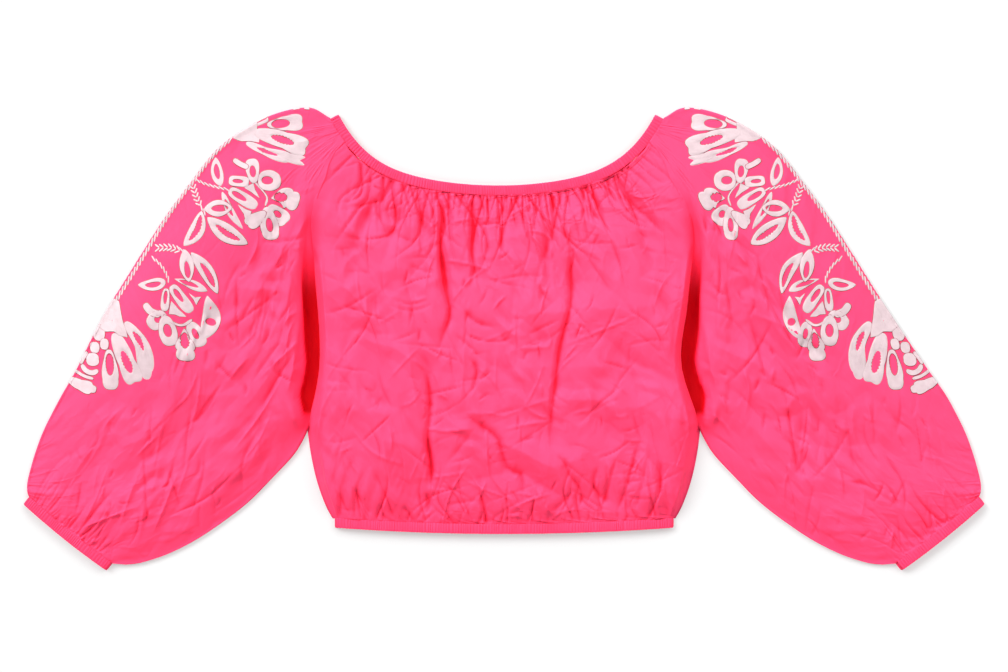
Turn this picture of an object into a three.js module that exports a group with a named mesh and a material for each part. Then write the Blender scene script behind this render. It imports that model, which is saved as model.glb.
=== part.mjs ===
// A cropped peasant blouse with raglan balloon sleeves, lying flat on its back with its front up.
// Neck, hem and both cuffs are gathered onto narrow elastic casings. Millimetres: +X towards the wearer's
// left, +Y towards the neck, +Z up. The origin is under the middle of the garment, on the surface it lies on.
// The pieces are laid out from the middle of the body, and the whole is then centred on the origin.
//
// Every cloth piece is a sheet of outer points, worked out from the tables below and given a wall inwards.
// The front lies puffed over the back, and the two meet, one wall above the other, at the side seams,
// along the underarms and in the deep crease beside each raglan seam.
import * as THREE from "three";

// ---- Driving dimensions ------------------------------------------------------------------------------
const WALL = 1.5; // the cloth, as a wall
const SEAM = 0.3; // the clearance between two pieces at a seam
const LAYERS = 2 * WALL + SEAM; // the height of one layer of cloth on another
const CASING = { width: 12.5, thick: 2 }; // a flattened elastic casing
const NECK = { half: 191, bottom: 185.4, squareRise: 38.9, sixthRise: 47.7, lift: 7.5 };
const HEM = { half: 204, side: -214, sag: 7.5, lift: 7.5 };
const CUFF = { fold: [571, -188], under: [470.5, -268.5], bow: 2, lift: 7 };
const RAGLAN_AT_NECK = { body: 0.9095, sleeve: 0.9105 }; // where the two end at it, in shares of its half
const NECK_PULL = 8.5; // how far the neck is pulled to the wearer's right of the middle
const FOLD_RADIUS = 2.6; // the roll of the cloth at the top fold of a sleeve
const PANEL_SQUARENESS = 8; // how flat-topped the front is between its two side edges
const SLEEVE_SQUARENESS = 5; // and a sleeve, towards its top fold
const CREASE_WALL = 12; // the run over which a sleeve rises out of the crease beside the front

// The side edge of front and back from hem to underarm: half width, height up the body, and the crown,
// which is how high the front stands at its middle.
const SIDE = [
  { half: 204, y: -214, crown: 10.5 },
  { half: 209, y: -205, crown: 18 },
  { half: 215, y: -191, crown: 25 },
  { half: 221.5, y: -171, crown: 29 },
  { half: 227, y: -146, crown: 31 },
  { half: 230.5, y: -122, crown: 32 },
];

// The raglan seam from underarm to neck. fold is the point of the sleeve's top fold that its section runs
// to, sleeve the sleeve's crown, seam the height of the seam, and crease the width of the floor of the
// crease between front and sleeve.
const RAGLAN = [
  { half: 232, y: -103, crown: 32, fold: [545, -90], sleeve: 22, seam: LAYERS, crease: 1 },
  { half: 226, y: -72, crown: 32, fold: [532, -66], sleeve: 22, seam: LAYERS, crease: 7 },
  { half: 219, y: -42, crown: 32, fold: [516, -41], sleeve: 22, seam: LAYERS, crease: 14 },
  { half: 217, y: -8, crown: 32, fold: [497, -9], sleeve: 22, seam: LAYERS, crease: 18 },
  { half: 220, y: 30, crown: 32, fold: [474, 30], sleeve: 22, seam: LAYERS, crease: 18 },
  { half: 224, y: 67, crown: 31, fold: [449, 70], sleeve: 22, seam: 3.6, crease: 15 },
  { half: 224, y: 95, crown: 30, fold: [424, 110], sleeve: 21, seam: 4, crease: 10 },
  { half: 222.5, y: 120, crown: 28, fold: [398, 150], sleeve: 20, seam: 5, crease: 6 },
  { half: 219.5, y: 143, crown: 26, fold: [370, 188], sleeve: 19, seam: 6, crease: 4 },
  { half: 213, y: 164, crown: 24, fold: [335, 231], sleeve: 18, seam: 7, crease: 2 },
  { half: 202, y: 185, crown: 21, fold: [284, 264.5], sleeve: 17, seam: 8, crease: 0 },
  { half: 191.5, y: 209, crown: 17, fold: [230, 278.5], sleeve: 14, seam: 9, crease: 0 },
  { crown: 11, sleeve: 9.5, seam: 9, crease: 0 }, // at the neck, where the casing gives both points
];

// The sleeve from underarm to cuff: the point of the underarm edge, the point of the top fold and the crown.
const UNDERARM = [
  { under: [248, -135], fold: [556, -113], sleeve: 22 },
  { under: [271, -164], fold: [564, -135], sleeve: 22 },
  { under: [300, -194], fold: [569, -152], sleeve: 22 },
  { under: [337, -222], fold: [572, -164], sleeve: 21 },
  { under: [380, -248], fold: [573.5, -173], sleeve: 19 },
  { under: [418, -263.5], fold: [573.5, -180], sleeve: 16 },
  { under: [450, -270], fold: [572.5, -185], sleeve: 12.5 },
  { sleeve: 9.5 }, // at the cuff, where the casing gives both points
];

// The largest folds of the front and of each sleeve, as soft troughs from one point to another: mm across
// and along the garment, half the width of the trough, and its depth. A negative depth is a ridge.
const FRONT_FOLDS = [
  { from: [-72, 150], to: [-60, 30], wide: 8, deep: 6 }, // the long gathers under the neck
  { from: [80, 140], to: [66, 0], wide: 9, deep: 6 },
  { from: [52, 150], to: [54, 70], wide: 7, deep: 4 },
  { from: [-136, 150], to: [-152, 60], wide: 10, deep: 4 },
  { from: [136, 150], to: [176, 70], wide: 9, deep: 3 },
  { from: [-4, 150], to: [-2, 70], wide: 6, deep: 3 },
  { from: [-94, -40], to: [-84, -180], wide: 9, deep: 6 }, // the folds that blouse over the hem
  { from: [46, -60], to: [56, -180], wide: 10, deep: 5 },
  { from: [-36, -100], to: [30, -160], wide: 8, deep: 4 },
  { from: [-30, -90], to: [34, -140], wide: 9, deep: -3 },
  { from: [120, -60], to: [96, -190], wide: 9, deep: 4 },
  { from: [-170, -90], to: [-140, -195], wide: 9, deep: 4 },
  { from: [184, -100], to: [164, -195], wide: 8, deep: 4 },
];
const SLEEVE_FOLDS = [
  { from: [262, 190], to: [282, 20], wide: 12, deep: 4 },
  { from: [330, 10], to: [372, -150], wide: 12, deep: 4 },
  { from: [420, -60], to: [520, -190], wide: 9, deep: 4 },
  { from: [300, -150], to: [440, -235], wide: 9, deep: -3 },
  { from: [470, -80], to: [545, -165], wide: 8, deep: 3 },
];

// The short gathers at a casing, in pleats to its half width; depth in mm and length as a share of the panel.
const GATHERS = { neck: 7, hem: 8, depth: 1.6, reach: 0.3 };

// ---- Small helpers -----------------------------------------------------------------------------------
const mix = (a, b, share) => a + (b - a) * share;
const mixPoint = (p, q, share) => [mix(p[0], q[0], share), mix(p[1], q[1], share)];
const { smoothstep, clamp } = THREE.MathUtils;

/** Pulls the neck and the shoulders to the wearer's right, and leaves body, cuffs and hem where they are. */
function pull([x, y]) {
  const low = mix(90, -80, smoothstep(Math.abs(x), 240, 400));
  return [x - NECK_PULL * smoothstep(y, low, low + 130), y];
}

/** How deep the folds of a table cut at a point: each trough is a bell across it, and fades at both ends. */
function foldDepth(folds, x, y) {
  return folds.reduce((sum, { from, to, wide, deep }) => {
    const along = [to[0] - from[0], to[1] - from[1]];
    const length = Math.hypot(...along);
    const share = ((x - from[0]) * along[0] + (y - from[1]) * along[1]) / length ** 2;
    const off = ((x - from[0]) * along[1] - (y - from[1]) * along[0]) / length;
    const fade = smoothstep(share, -0.15, 0.25) * (1 - smoothstep(share, 0.7, 1.15));
    return sum + deep * fade * Math.exp(-((off / wide) ** 2));
  }, 0);
}

// ---- The lines that the pieces share, each a function of a share along it ------------------------------
/** The neck edge of the neck casing, from -1 at one fold to 1 at the other, and the way to the cloth. */
function neckEdge(share, offset) {
  const slope = [NECK.half, 2 * NECK.squareRise * share + 6 * NECK.sixthRise * share ** 5];
  const length = Math.hypot(...slope);
  const y = NECK.bottom + NECK.squareRise * share ** 2 + NECK.sixthRise * share ** 6;
  return [NECK.half * share + (slope[1] / length) * offset, y - (slope[0] / length) * offset];
}

/** The cloth edge of the hem casing, a shallow arc, from -1 to 1. */
function hemEdge(share, offset) {
  return [HEM.half * share, HEM.side - HEM.sag * (1 - share ** 2) - offset];
}

/** The cloth edge of a cuff casing, a shallow arc, from the underarm at 0 to the top fold at 1. */
function cuffEdge(share, offset) {
  const [x, y] = mixPoint(CUFF.under, CUFF.fold, share);
  const along = [CUFF.fold[0] - CUFF.under[0], CUFF.fold[1] - CUFF.under[1]];
  const length = Math.hypot(...along);
  const out = offset + 4 * CUFF.bow * share * (1 - share);
  return [x + (along[1] / length) * out, y - (along[0] / length) * out];
}

const neckSeam = (share) => neckEdge(share, CASING.width + SEAM);
const hemSeam = (share) => hemEdge(share, -SEAM);
const cuffSeam = (share) => cuffEdge(share, -SEAM);

// ---- Sheets of cloth -----------------------------------------------------------------------------------
/** The share of the way along a chain of points at each point. */
function shares(points) {
  const run = [0];
  points.slice(1).forEach(([x, y], i) => run.push(run[i] + Math.hypot(x - points[i][0], y - points[i][1])));
  return run.map((r) => r / run.at(-1));
}

/**
 * A Coons patch in plan: the point of row i at a share across, between the chains left and right, where
 * the first row follows near(share) and the last row far(share).
 */
function patch(left, right, near, far) {
  const up = shares(left);
  const last = left.length - 1;
  return (i, share) => {
    const v = up[i];
    const ends = mixPoint(left[i], right[i], share);
    const bent = mixPoint(near(share), far(share), v);
    const corners = mixPoint(mixPoint(left[0], right[0], share), mixPoint(left[last], right[last], share), v);
    return [ends[0] + bent[0] - corners[0], ends[1] + bent[1] - corners[1]];
  };
}

/** A closed solid from a sheet of outer points, rows by columns, with a wall of cloth inwards. */
function cloth(sheet, lowest = 0) {
  const rows = sheet.length;
  const columns = sheet[0].length;
  const at = (i, j) => sheet[clamp(i, 0, rows - 1)][clamp(j, 0, columns - 1)];
  const inner = sheet.map((row, i) =>
    row.map((point, j) => {
      const across = new THREE.Vector3().subVectors(at(i, j + 1), at(i, j - 1));
      const up = new THREE.Vector3().subVectors(at(i + 1, j), at(i - 1, j));
      const moved = point.clone().addScaledVector(across.cross(up).normalize(), -WALL);
      return moved.setZ(Math.max(moved.z, lowest));
    }),
  );
  const points = [...sheet.flat(), ...inner.flat()];
  const index = [];
  const quad = (a, b, c, d) => index.push(a, b, c, a, c, d);
  const outerAt = (i, j) => i * columns + j;
  const innerAt = (i, j) => rows * columns + outerAt(i, j);
  for (let i = 0; i < rows - 1; i++) {
    for (let j = 0; j < columns - 1; j++) {
      quad(outerAt(i, j), outerAt(i, j + 1), outerAt(i + 1, j + 1), outerAt(i + 1, j));
      quad(innerAt(i, j), innerAt(i + 1, j), innerAt(i + 1, j + 1), innerAt(i, j + 1));
    }
  }
  for (let j = 0; j < columns - 1; j++) {
    quad(innerAt(0, j), innerAt(0, j + 1), outerAt(0, j + 1), outerAt(0, j));
    quad(outerAt(rows - 1, j), outerAt(rows - 1, j + 1), innerAt(rows - 1, j + 1), innerAt(rows - 1, j));
  }
  for (let i = 0; i < rows - 1; i++) {
    quad(outerAt(i, 0), outerAt(i + 1, 0), innerAt(i + 1, 0), innerAt(i, 0));
    const j = columns - 1;
    quad(innerAt(i, j), innerAt(i + 1, j), outerAt(i + 1, j), outerAt(i, j));
  }
  return new THREE.BufferGeometry().setFromPoints(points).setIndex(index);
}

/** The columns across a panel, from -1 to 1, crowded towards its two edges, where it turns down. */
const PANEL_STOPS = Array.from({ length: 29 }, (_, k) => {
  const q = k / 14 - 1;
  return Math.sign(q) * (1 - (1 - Math.abs(q)) ** 1.6);
});

/** The columns across the front and the back of a sleeve, from the seam or the underarm to the fold. */
const SLEEVE_STOPS = [0, 0.04, 0.1, 0.18, 0.3, 0.45, 0.62, 0.8, 0.93, 1];

/** Half turn of a fold, from its top round to its bottom, as angles. */
const ROLL = [1, 2, 3].map((k) => (k / 4) * Math.PI);

/** The raglan seam moved aside, towards the sleeve, up to where that side of it meets the neck. */
function raglanLine(aside, atNeck) {
  const line = RAGLAN.slice(0, -1).map(({ half, y }) => [half, y]);
  const end = neckSeam(atNeck);
  const moved = line.map(([x, y], i) => {
    const [below, above] = [line[Math.max(i - 1, 0)], line[i + 1] ?? end];
    const length = Math.hypot(above[0] - below[0], above[1] - below[1]);
    return [x + (aside * (above[1] - below[1])) / length, y - (aside * (above[0] - below[0])) / length];
  });
  return [...moved, end];
}

const BODY_ROWS = [...SIDE, ...RAGLAN];
const BODY_SIDE = [...SIDE.map(({ half, y }) => [half, y]), ...raglanLine(-SEAM / 2, RAGLAN_AT_NECK.body)];
BODY_SIDE[0] = hemSeam(1);
const bodyPoint = patch(
  BODY_SIDE.map(([x, y]) => [-x, y]),
  BODY_SIDE,
  (share) => hemSeam(2 * share - 1),
  (share) => neckSeam(RAGLAN_AT_NECK.body * (2 * share - 1)),
);

/** The front: a flat-topped dome from side to side, gathered into the casings, with its large folds. */
function frontPanel() {
  const up = shares(BODY_SIDE);
  const sheet = BODY_ROWS.map(({ crown, seam = LAYERS }, i) =>
    PANEL_STOPS.map((u) => {
      const [x, y] = bodyPoint(i, (u + 1) / 2);
      const dome = Math.sqrt(1 - Math.abs(u) ** PANEL_SQUARENESS);
      const foot = mix(WALL + SEAM, seam, smoothstep(seam, LAYERS, NECK.lift)) + 0.4;
      const atNeck = smoothstep(up[i], 1 - GATHERS.reach, 1) * (1 - up[i]) * 8;
      const atHem = (1 - smoothstep(up[i], 0, GATHERS.reach)) * up[i] * 14;
      const turn = 2 * Math.PI * u;
      const pleats = atNeck * Math.cos(GATHERS.neck * turn) + atHem * Math.cos(GATHERS.hem * turn);
      const inside = i === 0 || i === BODY_ROWS.length - 1 ? 0 : dome;
      const fold = foldDepth(FRONT_FOLDS, x, y) + GATHERS.depth * pleats;
      return new THREE.Vector3(...pull([x, y]), foot + (crown - foot) * dome - fold * inside);
    }),
  );
  return cloth(sheet, LAYERS - WALL);
}

/** The back: one flat layer under the front, with the same outline. */
function backPanel() {
  const sheet = BODY_ROWS.map((_, i) =>
    PANEL_STOPS.map((u) => new THREE.Vector3(...pull(bodyPoint(i, (1 - u) / 2)), 0)),
  );
  return cloth(sheet);
}

/** A sleeve: one sheet from the front edge up over the crown, round the top fold and back underneath. */
function sleeve(side) {
  const rows = [...UNDERARM].reverse().concat(RAGLAN).map((row) => ({ seam: LAYERS, crease: 0, ...row }));
  const last = rows.length - 1;
  const raglan = raglanLine(SEAM / 2, RAGLAN_AT_NECK.sleeve);
  const under = [...UNDERARM.map((row) => row.under)].reverse().concat(raglan);
  under[0] = cuffSeam(0);
  const fold = rows.map((row) => row.fold);
  fold[0] = cuffSeam(1);
  fold[last] = neckSeam(1);
  const plan = patch(under, fold, cuffSeam, (share) => neckSeam(mix(RAGLAN_AT_NECK.sleeve, 1, share)));
  const sheet = rows.map(({ sleeve: crown, seam, crease }, i) => {
    const width = Math.hypot(fold[i][0] - under[i][0], fold[i][1] - under[i][1]);
    const flat = 1 - FOLD_RADIUS / width;
    const point = (share, height) => {
      const [x, y] = pull(plan(i, share).map((value, k) => (k === 0 ? side * value : value)));
      return new THREE.Vector3(x, y, height);
    };
    const front = SLEEVE_STOPS.map((q) => {
      const rise = smoothstep(q * width, crease, crease + CREASE_WALL + 0.12 * width * (crease === 0));
      const dome = Math.sqrt(1 - q ** SLEEVE_SQUARENESS);
      const edge = mix(seam, 2 * FOLD_RADIUS, q);
      const [x, y] = plan(i, flat * q);
      const inside = i === 0 || i === last ? 0 : rise * dome;
      const height = edge + (crown - edge) * rise * dome - foldDepth(SLEEVE_FOLDS, x, y) * inside;
      return point(flat * q, height);
    });
    const round = ROLL.map((angle) => {
      const share = flat + (FOLD_RADIUS / width) * Math.sin(angle);
      return point(share, FOLD_RADIUS * (1 + Math.cos(angle)));
    });
    const back = [...SLEEVE_STOPS].reverse().map((q) => point(flat * q, 0));
    return [...front, ...round, ...back];
  });
  return cloth(side > 0 ? sheet : sheet.map((row) => [...row].reverse()));
}

/**
 * An elastic casing, flattened: a closed strip, rectangular in section, whose front lies over its back.
 * edge(share, offset) is its plan from share 0 at one fold to 1 at the other, where offset runs across it,
 * and stops are the shares at which the pieces gathered onto it have their columns.
 */
function casing(edge, lift, stops) {
  const half = CASING.thick / 2;
  const low = 2 * FOLD_RADIUS - CASING.thick;
  const nearEnd = [edge(0, 0), edge(0.001, 0)].map((p) => new THREE.Vector2(...p));
  const perMillimetre = 0.001 / nearEnd[0].distanceTo(nearEnd[1]);
  const inset = FOLD_RADIUS * perMillimetre;
  const front = [inset, ...stops, 1 - inset].map((share) => {
    const dome = Math.sqrt(1 - Math.abs(2 * share - 1) ** PANEL_SQUARENESS);
    return { share, z: half + mix(low, lift, dome) };
  });
  const atOne = ROLL.map((angle) => ({
    share: 1 - inset + (FOLD_RADIUS - half) * perMillimetre * Math.sin(angle),
    z: half + (low / 2) * (1 + Math.cos(angle)),
  }));
  const back = [...front].reverse().map(({ share }) => ({ share, z: half }));
  const atZero = [...atOne].reverse().map(({ share, z }) => ({ share: 1 - share, z }));
  const loop = [...front, ...atOne, ...back, ...atZero];
  const middle = loop.map(({ share, z }) => new THREE.Vector3(...edge(share, 0), z));
  const index = [];
  const points = loop.flatMap(({ share, z }, k) => {
    const near = edge(share, 0);
    const far = edge(share, CASING.width);
    const ahead = middle[(k + 1) % loop.length].clone().sub(middle[k]).normalize();
    const behind = middle[k].clone().sub(middle.at(k - 1)).normalize();
    const across = new THREE.Vector3(far[0] - near[0], far[1] - near[1], 0).normalize();
    const out = across.cross(ahead.clone().add(behind)).normalize();
    const mitre = half / Math.sqrt((1 + ahead.dot(behind)) / 2);
    const corner = ([x, y], way) => {
      const p = new THREE.Vector3(x, y, z).addScaledVector(out, way * mitre);
      return new THREE.Vector3(...pull([p.x, p.y]), p.z);
    };
    return [corner(near, 1), corner(far, 1), corner(far, -1), corner(near, -1)];
  });
  loop.forEach((_, k) => {
    const next = (k + 1) % loop.length;
    for (let c = 0; c < 4; c++) {
      const [a, b] = [4 * k + c, 4 * k + ((c + 1) % 4)];
      const [d, e] = [4 * next + c, 4 * next + ((c + 1) % 4)];
      index.push(a, b, e, a, e, d);
    }
  });
  return new THREE.BufferGeometry().setFromPoints(points).setIndex(index);
}

// ---- The blouse ----------------------------------------------------------------------------------------
const viscose = new THREE.MeshStandardMaterial({ color: "#ff3a7a", roughness: 0.75, metalness: 0 });

function piece(name, geometry) {
  geometry.computeVertexNormals();
  const mesh = new THREE.Mesh(geometry, viscose);
  mesh.name = name;
  return mesh;
}

const HEM_STOPS = PANEL_STOPS.slice(1, -1).map((u) => (u + 1) / 2);
const CUFF_STOPS = SLEEVE_STOPS.slice(1, -1).map((q) => 0.98 * q);
const NECK_STOPS = [
  ...[...SLEEVE_STOPS.slice(0, -1)].reverse().map((q) => -mix(RAGLAN_AT_NECK.sleeve, 1, 0.94 * q)),
  ...PANEL_STOPS.slice(1, -1).map((u) => RAGLAN_AT_NECK.body * u),
  ...SLEEVE_STOPS.slice(0, -1).map((q) => mix(RAGLAN_AT_NECK.sleeve, 1, 0.94 * q)),
].map((u) => (u + 1) / 2);

const leftCuff = (share, offset) => cuffEdge(share, offset);
const rightCuff = (share, offset) => {
  const [x, y] = cuffEdge(1 - share, offset);
  return [-x, y];
};
const RIGHT_CUFF_STOPS = CUFF_STOPS.map((share) => 1 - share).reverse();

const blouse = new THREE.Group();
blouse.add(
  piece("front_panel", frontPanel()),
  piece("back_panel", backPanel()),
  piece("left_sleeve", sleeve(1)),
  piece("right_sleeve", sleeve(-1)),
  piece("neck_casing", casing((share, offset) => neckEdge(2 * share - 1, offset), NECK.lift, NECK_STOPS)),
  piece("hem_casing", casing((share, offset) => hemEdge(2 * share - 1, offset), HEM.lift, HEM_STOPS)),
  piece("left_cuff_casing", casing(leftCuff, CUFF.lift, CUFF_STOPS)),
  piece("right_cuff_casing", casing(rightCuff, CUFF.lift, RIGHT_CUFF_STOPS)),
);
const middle = new THREE.Box3().setFromObject(blouse).getCenter(new THREE.Vector3());
blouse.position.set(-middle.x, -middle.y, 0);
export default blouse;
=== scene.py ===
"""A cropped peasant blouse of crumpled viscose, lying flat on its back, seen from straight above.

Tables are in millimetres, in the frame's own axes: +X towards the wearer's left, +Y towards the neck,
+Z up from the surface. Shapes are worked out as whole arrays in millimetres, and made in metres.
"""

import math

import bpy
import numpy as np

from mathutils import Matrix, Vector


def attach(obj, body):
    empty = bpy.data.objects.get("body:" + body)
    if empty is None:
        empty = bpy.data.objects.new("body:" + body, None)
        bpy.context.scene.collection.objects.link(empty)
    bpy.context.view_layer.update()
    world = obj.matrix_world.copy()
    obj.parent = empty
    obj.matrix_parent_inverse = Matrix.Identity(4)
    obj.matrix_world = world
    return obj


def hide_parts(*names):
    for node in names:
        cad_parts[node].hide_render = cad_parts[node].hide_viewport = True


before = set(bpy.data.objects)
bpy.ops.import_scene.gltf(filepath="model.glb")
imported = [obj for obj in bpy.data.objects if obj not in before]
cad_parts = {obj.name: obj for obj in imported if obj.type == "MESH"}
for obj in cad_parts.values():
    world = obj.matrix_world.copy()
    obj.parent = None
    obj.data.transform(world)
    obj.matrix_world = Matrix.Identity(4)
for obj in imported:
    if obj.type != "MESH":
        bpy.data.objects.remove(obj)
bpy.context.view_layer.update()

# ---- The front ------------------------------------------------------------------------------------------
# One cut of light plain-weave viscose, wider than it lies, gathered into the casings at neck and hem and
# sewn to the sleeves by raglan seams. It lies puffed over the back, with its own side edges rolled under,
# and has creased as thin viscose does.

MM = 0.001
SHEET_THICKNESS = 0.55
CASING_WIDTH = 12.5
# how far a sheet reaches over onto its casing
TUCK = 1.3
# the neck's half width, its height at the middle, and how far it rises as an even curve and as a sharp one
NECK_HALF, NECK_Y, NECK_DISH, NECK_TIP = 191, 185.4, 38.9, 47.7
# the hem's half width, its height at the ends, and its sag
HEM_HALF, HEM_Y, HEM_SAG = 204, -214, 7.5
# the body's share of the neck's half, which the sleeve takes up from there
BODY_AT_NECK = 0.9095
BODY_LENGTH = 400
# how far the body's side edges roll under, as a share of its half width
ROLL = 0.016
# the inner face of a sheet has one point for every eight of the outer face, each way
LINING_STEP = 8

# The side edge of the front: half width, height up the body, crown of the front, height of the edge.
FRONT_SIDE = [
    (204, -213.7, 9, 2.4),
    (209, -205, 18, 2.4),
    (215, -191, 25, 2.4),
    (221.5, -171, 29, 2.4),
    (227, -146, 31, 2.4),
    (230.5, -122, 32, 2.4),
    (232, -103, 32, 2.4),
    (225, -72, 32, 2.4),
    (219, -42, 32, 2.4),
    (217.5, -8, 32, 2.4),
    (219, 30, 32, 3),
    (221.5, 67, 31, 7.5),
    (222, 95, 29, 14.5),
    (222.5, 120, 27.5, 19),
    (219.5, 143, 25, 22),
    (213, 164, 22, 20.3),
    (202, 185, 18.5, 17.2),
    (191.5, 209, 14.5, 12.3),
    (174, 226.1, 9, 8.6),
]


def step(low, high, value):
    """0 on the side of low, 1 on the side of high, and a smooth cubic between."""
    share = np.clip((value - low) / (high - low), 0, 1)
    return share * share * (3 - 2 * share)


def domed(place, power):
    """An even height with round ends: sqrt(1 - |p|^power), for a place p from -1 to 1."""
    return np.sqrt(np.clip(1 - np.abs(place) ** power, 0, 1))


def pull(x, y):
    """The neck lies 8.5 mm to the wearer's right: x less that much above a line that falls outwards. The
    crease beside the left arm lies up to 9 mm further in, and is narrower higher up: x less
    9 exp(-((x - 228) / 38)^2 - ((y + 22) / 52)^2) and 7 exp(-((x - 239) / 13)^2 - ((y - 62) / 42)^2)."""
    low = 90 - 170 * step(240, 400, np.abs(x))
    nudge = 9 * np.exp(-(((x - 228) / 38) ** 2) - ((y + 22) / 52) ** 2)
    narrow = 7 * np.exp(-(((x - 239) / 13) ** 2) - ((y - 62) / 42) ** 2)
    return x - 8.5 * step(0, 130, y - low) - nudge - narrow


def run_of(rows):
    """The length of a path in plan, up to each of its rows. x and y are their first two columns."""
    return np.r_[0, np.cumsum(np.hypot(*np.diff(np.asarray(rows, float)[:, :2], axis=0).T))]


def left_of(way):
    """A direction in plan turned a quarter to the left."""
    return np.stack([-way[..., 1], way[..., 0]], -1)


def through(rows, at):
    """A smooth curve through rows of numbers, at shares of its run: cubic Hermite between neighbours, with
    slopes from the rows on both sides."""
    rows, run = np.asarray(rows, float), run_of(rows)
    shares = run / run[-1]
    slope = np.gradient(rows, shares, axis=0)
    i = np.clip(np.searchsorted(shares, at, "right") - 1, 0, len(shares) - 2)
    h = (shares[i + 1] - shares[i])[..., None]
    t = (at - shares[i])[..., None] / h
    ends = (1 + 2 * t) * (1 - t) ** 2 * rows[i] + t * t * (3 - 2 * t) * rows[i + 1]
    return ends + t * (1 - t) ** 2 * h * slope[i] + t * t * (t - 1) * h * slope[i + 1]


def neck_line(share, offset):
    """The neck, x = half s and y = middle + dish s^2 + tip s^6, moved offset along its normal, into the
    cloth."""
    rise = 2 * NECK_DISH * share + 6 * NECK_TIP * share**5
    length = np.hypot(NECK_HALF, rise)
    y = NECK_Y + NECK_DISH * share**2 + NECK_TIP * share**6
    return NECK_HALF * share + rise / length * offset, y - NECK_HALF / length * offset


def hem_line(share, offset):
    """The hem, an arc that sags between its ends, moved offset away from the cloth."""
    return HEM_HALF * share, HEM_Y - HEM_SAG * (1 - share**2) - offset


def body_plan(u, v):
    """Coons patch of the body: side edges from the table, hem below and neck above, u from -1 to 1, each end
    reaching over onto its casing. Gives x, y, the crown of the front and the height of its edge."""
    half, y, crown, edge = np.moveaxis(through(FRONT_SIDE, v), -1, 0)
    corners = [through(FRONT_SIDE, np.array(end))[:2] for end in (0.0, 1.0)]
    hem, neck = hem_line(u, TUCK), neck_line(BODY_AT_NECK * u, CASING_WIDTH - TUCK)
    roll = np.sign(u) * (ROLL * np.abs(u) - ROLL * step(0.98, 1, np.abs(u)))
    x = half * (u + roll) + (1 - v) * (hem[0] - corners[0][0] * u) + v * (neck[0] - corners[1][0] * u)
    y = y + (1 - v) * (hem[1] - corners[0][1]) + v * (neck[1] - corners[1][1])
    return x, y, crown, edge


def blended(lattice, i, j, s, t):
    """The numbers of a lattice between its nodes: shares s and t of the way from node i, j to the next."""
    low = lattice[i, j] * (1 - s) + lattice[i + 1, j] * s
    high = lattice[i, j + 1] * (1 - s) + lattice[i + 1, j + 1] * s
    return low * (1 - t) + high * t


def drift(x, y, cell, seed):
    """A smooth random field from -1 to 1: random numbers on a lattice, blended by smooth steps."""
    lattice = np.random.default_rng(seed).uniform(-1, 1, (64, 64))
    a, b = x / cell + 31.7, y / cell + 29.3
    i, j = np.floor(a).astype(int), np.floor(b).astype(int)
    return blended(lattice, i % 63, j % 63, step(0, 1, a - i), step(0, 1, b - j))


def swayed(x, y, amount, cell, seed):
    """Places moved across and along by two drifts, up to amount each way."""
    return x + amount * drift(x, y, cell, seed), y + amount * drift(x, y, cell, seed + 1)


def bent(rows):
    """Each fold's few points, as 14 points on a smooth curve through them."""
    return [(through(points, np.linspace(0, 1, 14)), *rest) for points, *rest in rows]


def folds(x, y, rows):
    """Depth of a table of folds over the plan. A fold is a line of points with a width to its left, a width
    to its right, a depth and two shares of its run. Its section is exp(-distance / width), rounded at the
    bottom, and its depth swells from nothing over the first share and falls back to nothing over the last."""
    depth = np.zeros_like(x)
    for points, left, right, deep, ends in rows:
        reach = 4.5 * max(left, right)
        low, high = points.min(0) - reach, points.max(0) + reach
        near = (x > low[0]) & (x < high[0]) & (y > low[1]) & (y < high[1])
        px, py = x[near], y[near]
        if not px.size:
            continue
        a, along = points[:-1], np.diff(points, axis=0)
        size = np.hypot(*along.T)
        dx, dy = px[:, None] - a[:, 0], py[:, None] - a[:, 1]
        t = np.clip((dx * along[:, 0] + dy * along[:, 1]) / size**2, 0, 1)
        ox, oy = dx - t * along[:, 0], dy - t * along[:, 1]
        gap = np.hypot(ox, oy)
        k = gap.argmin(1)
        pick = np.arange(len(k))
        side = along[k, 0] * oy[pick, k] - along[k, 1] * ox[pick, k]
        share = (k + t[pick, k]) / len(a)
        width = np.where(side > 0, left, right)
        gap = gap[pick, k]
        section = np.exp(-(np.sqrt(gap**2 + (0.3 * width) ** 2) - 0.3 * width) / width)
        fade = step(-0.02, ends[0], share) * (1 - step(1 - ends[1], 1.02, share))
        depth[near] += deep * section * fade
    return depth


def creases(rng, count, box, length, width, depth, lean=None):
    """Random fold rows for crumpled cloth: short bowed lines anywhere in a box, in all directions or about
    the angle lean. Two in three are troughs, the rest ridges."""
    rows = []
    for _ in range(count):
        middle = rng.uniform(box[0], box[1])
        angle = rng.uniform(0, math.pi) if lean is None else rng.normal(lean, 0.45)
        run = length[0] * (length[1] / length[0]) ** rng.uniform()
        way = np.array([math.cos(angle), math.sin(angle)])
        bow = left_of(way) * run * rng.normal(0, 0.06)
        points = [middle - way * run / 2, middle + bow, middle + way * run / 2]
        wide = rng.uniform(*width, 2)
        sign = rng.choice([1, -1], p=[0.65, 0.35])
        rows.append((np.array(points), *wide, sign * rng.uniform(*depth), (0.4, 0.4)))
    return bent(rows)


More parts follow.
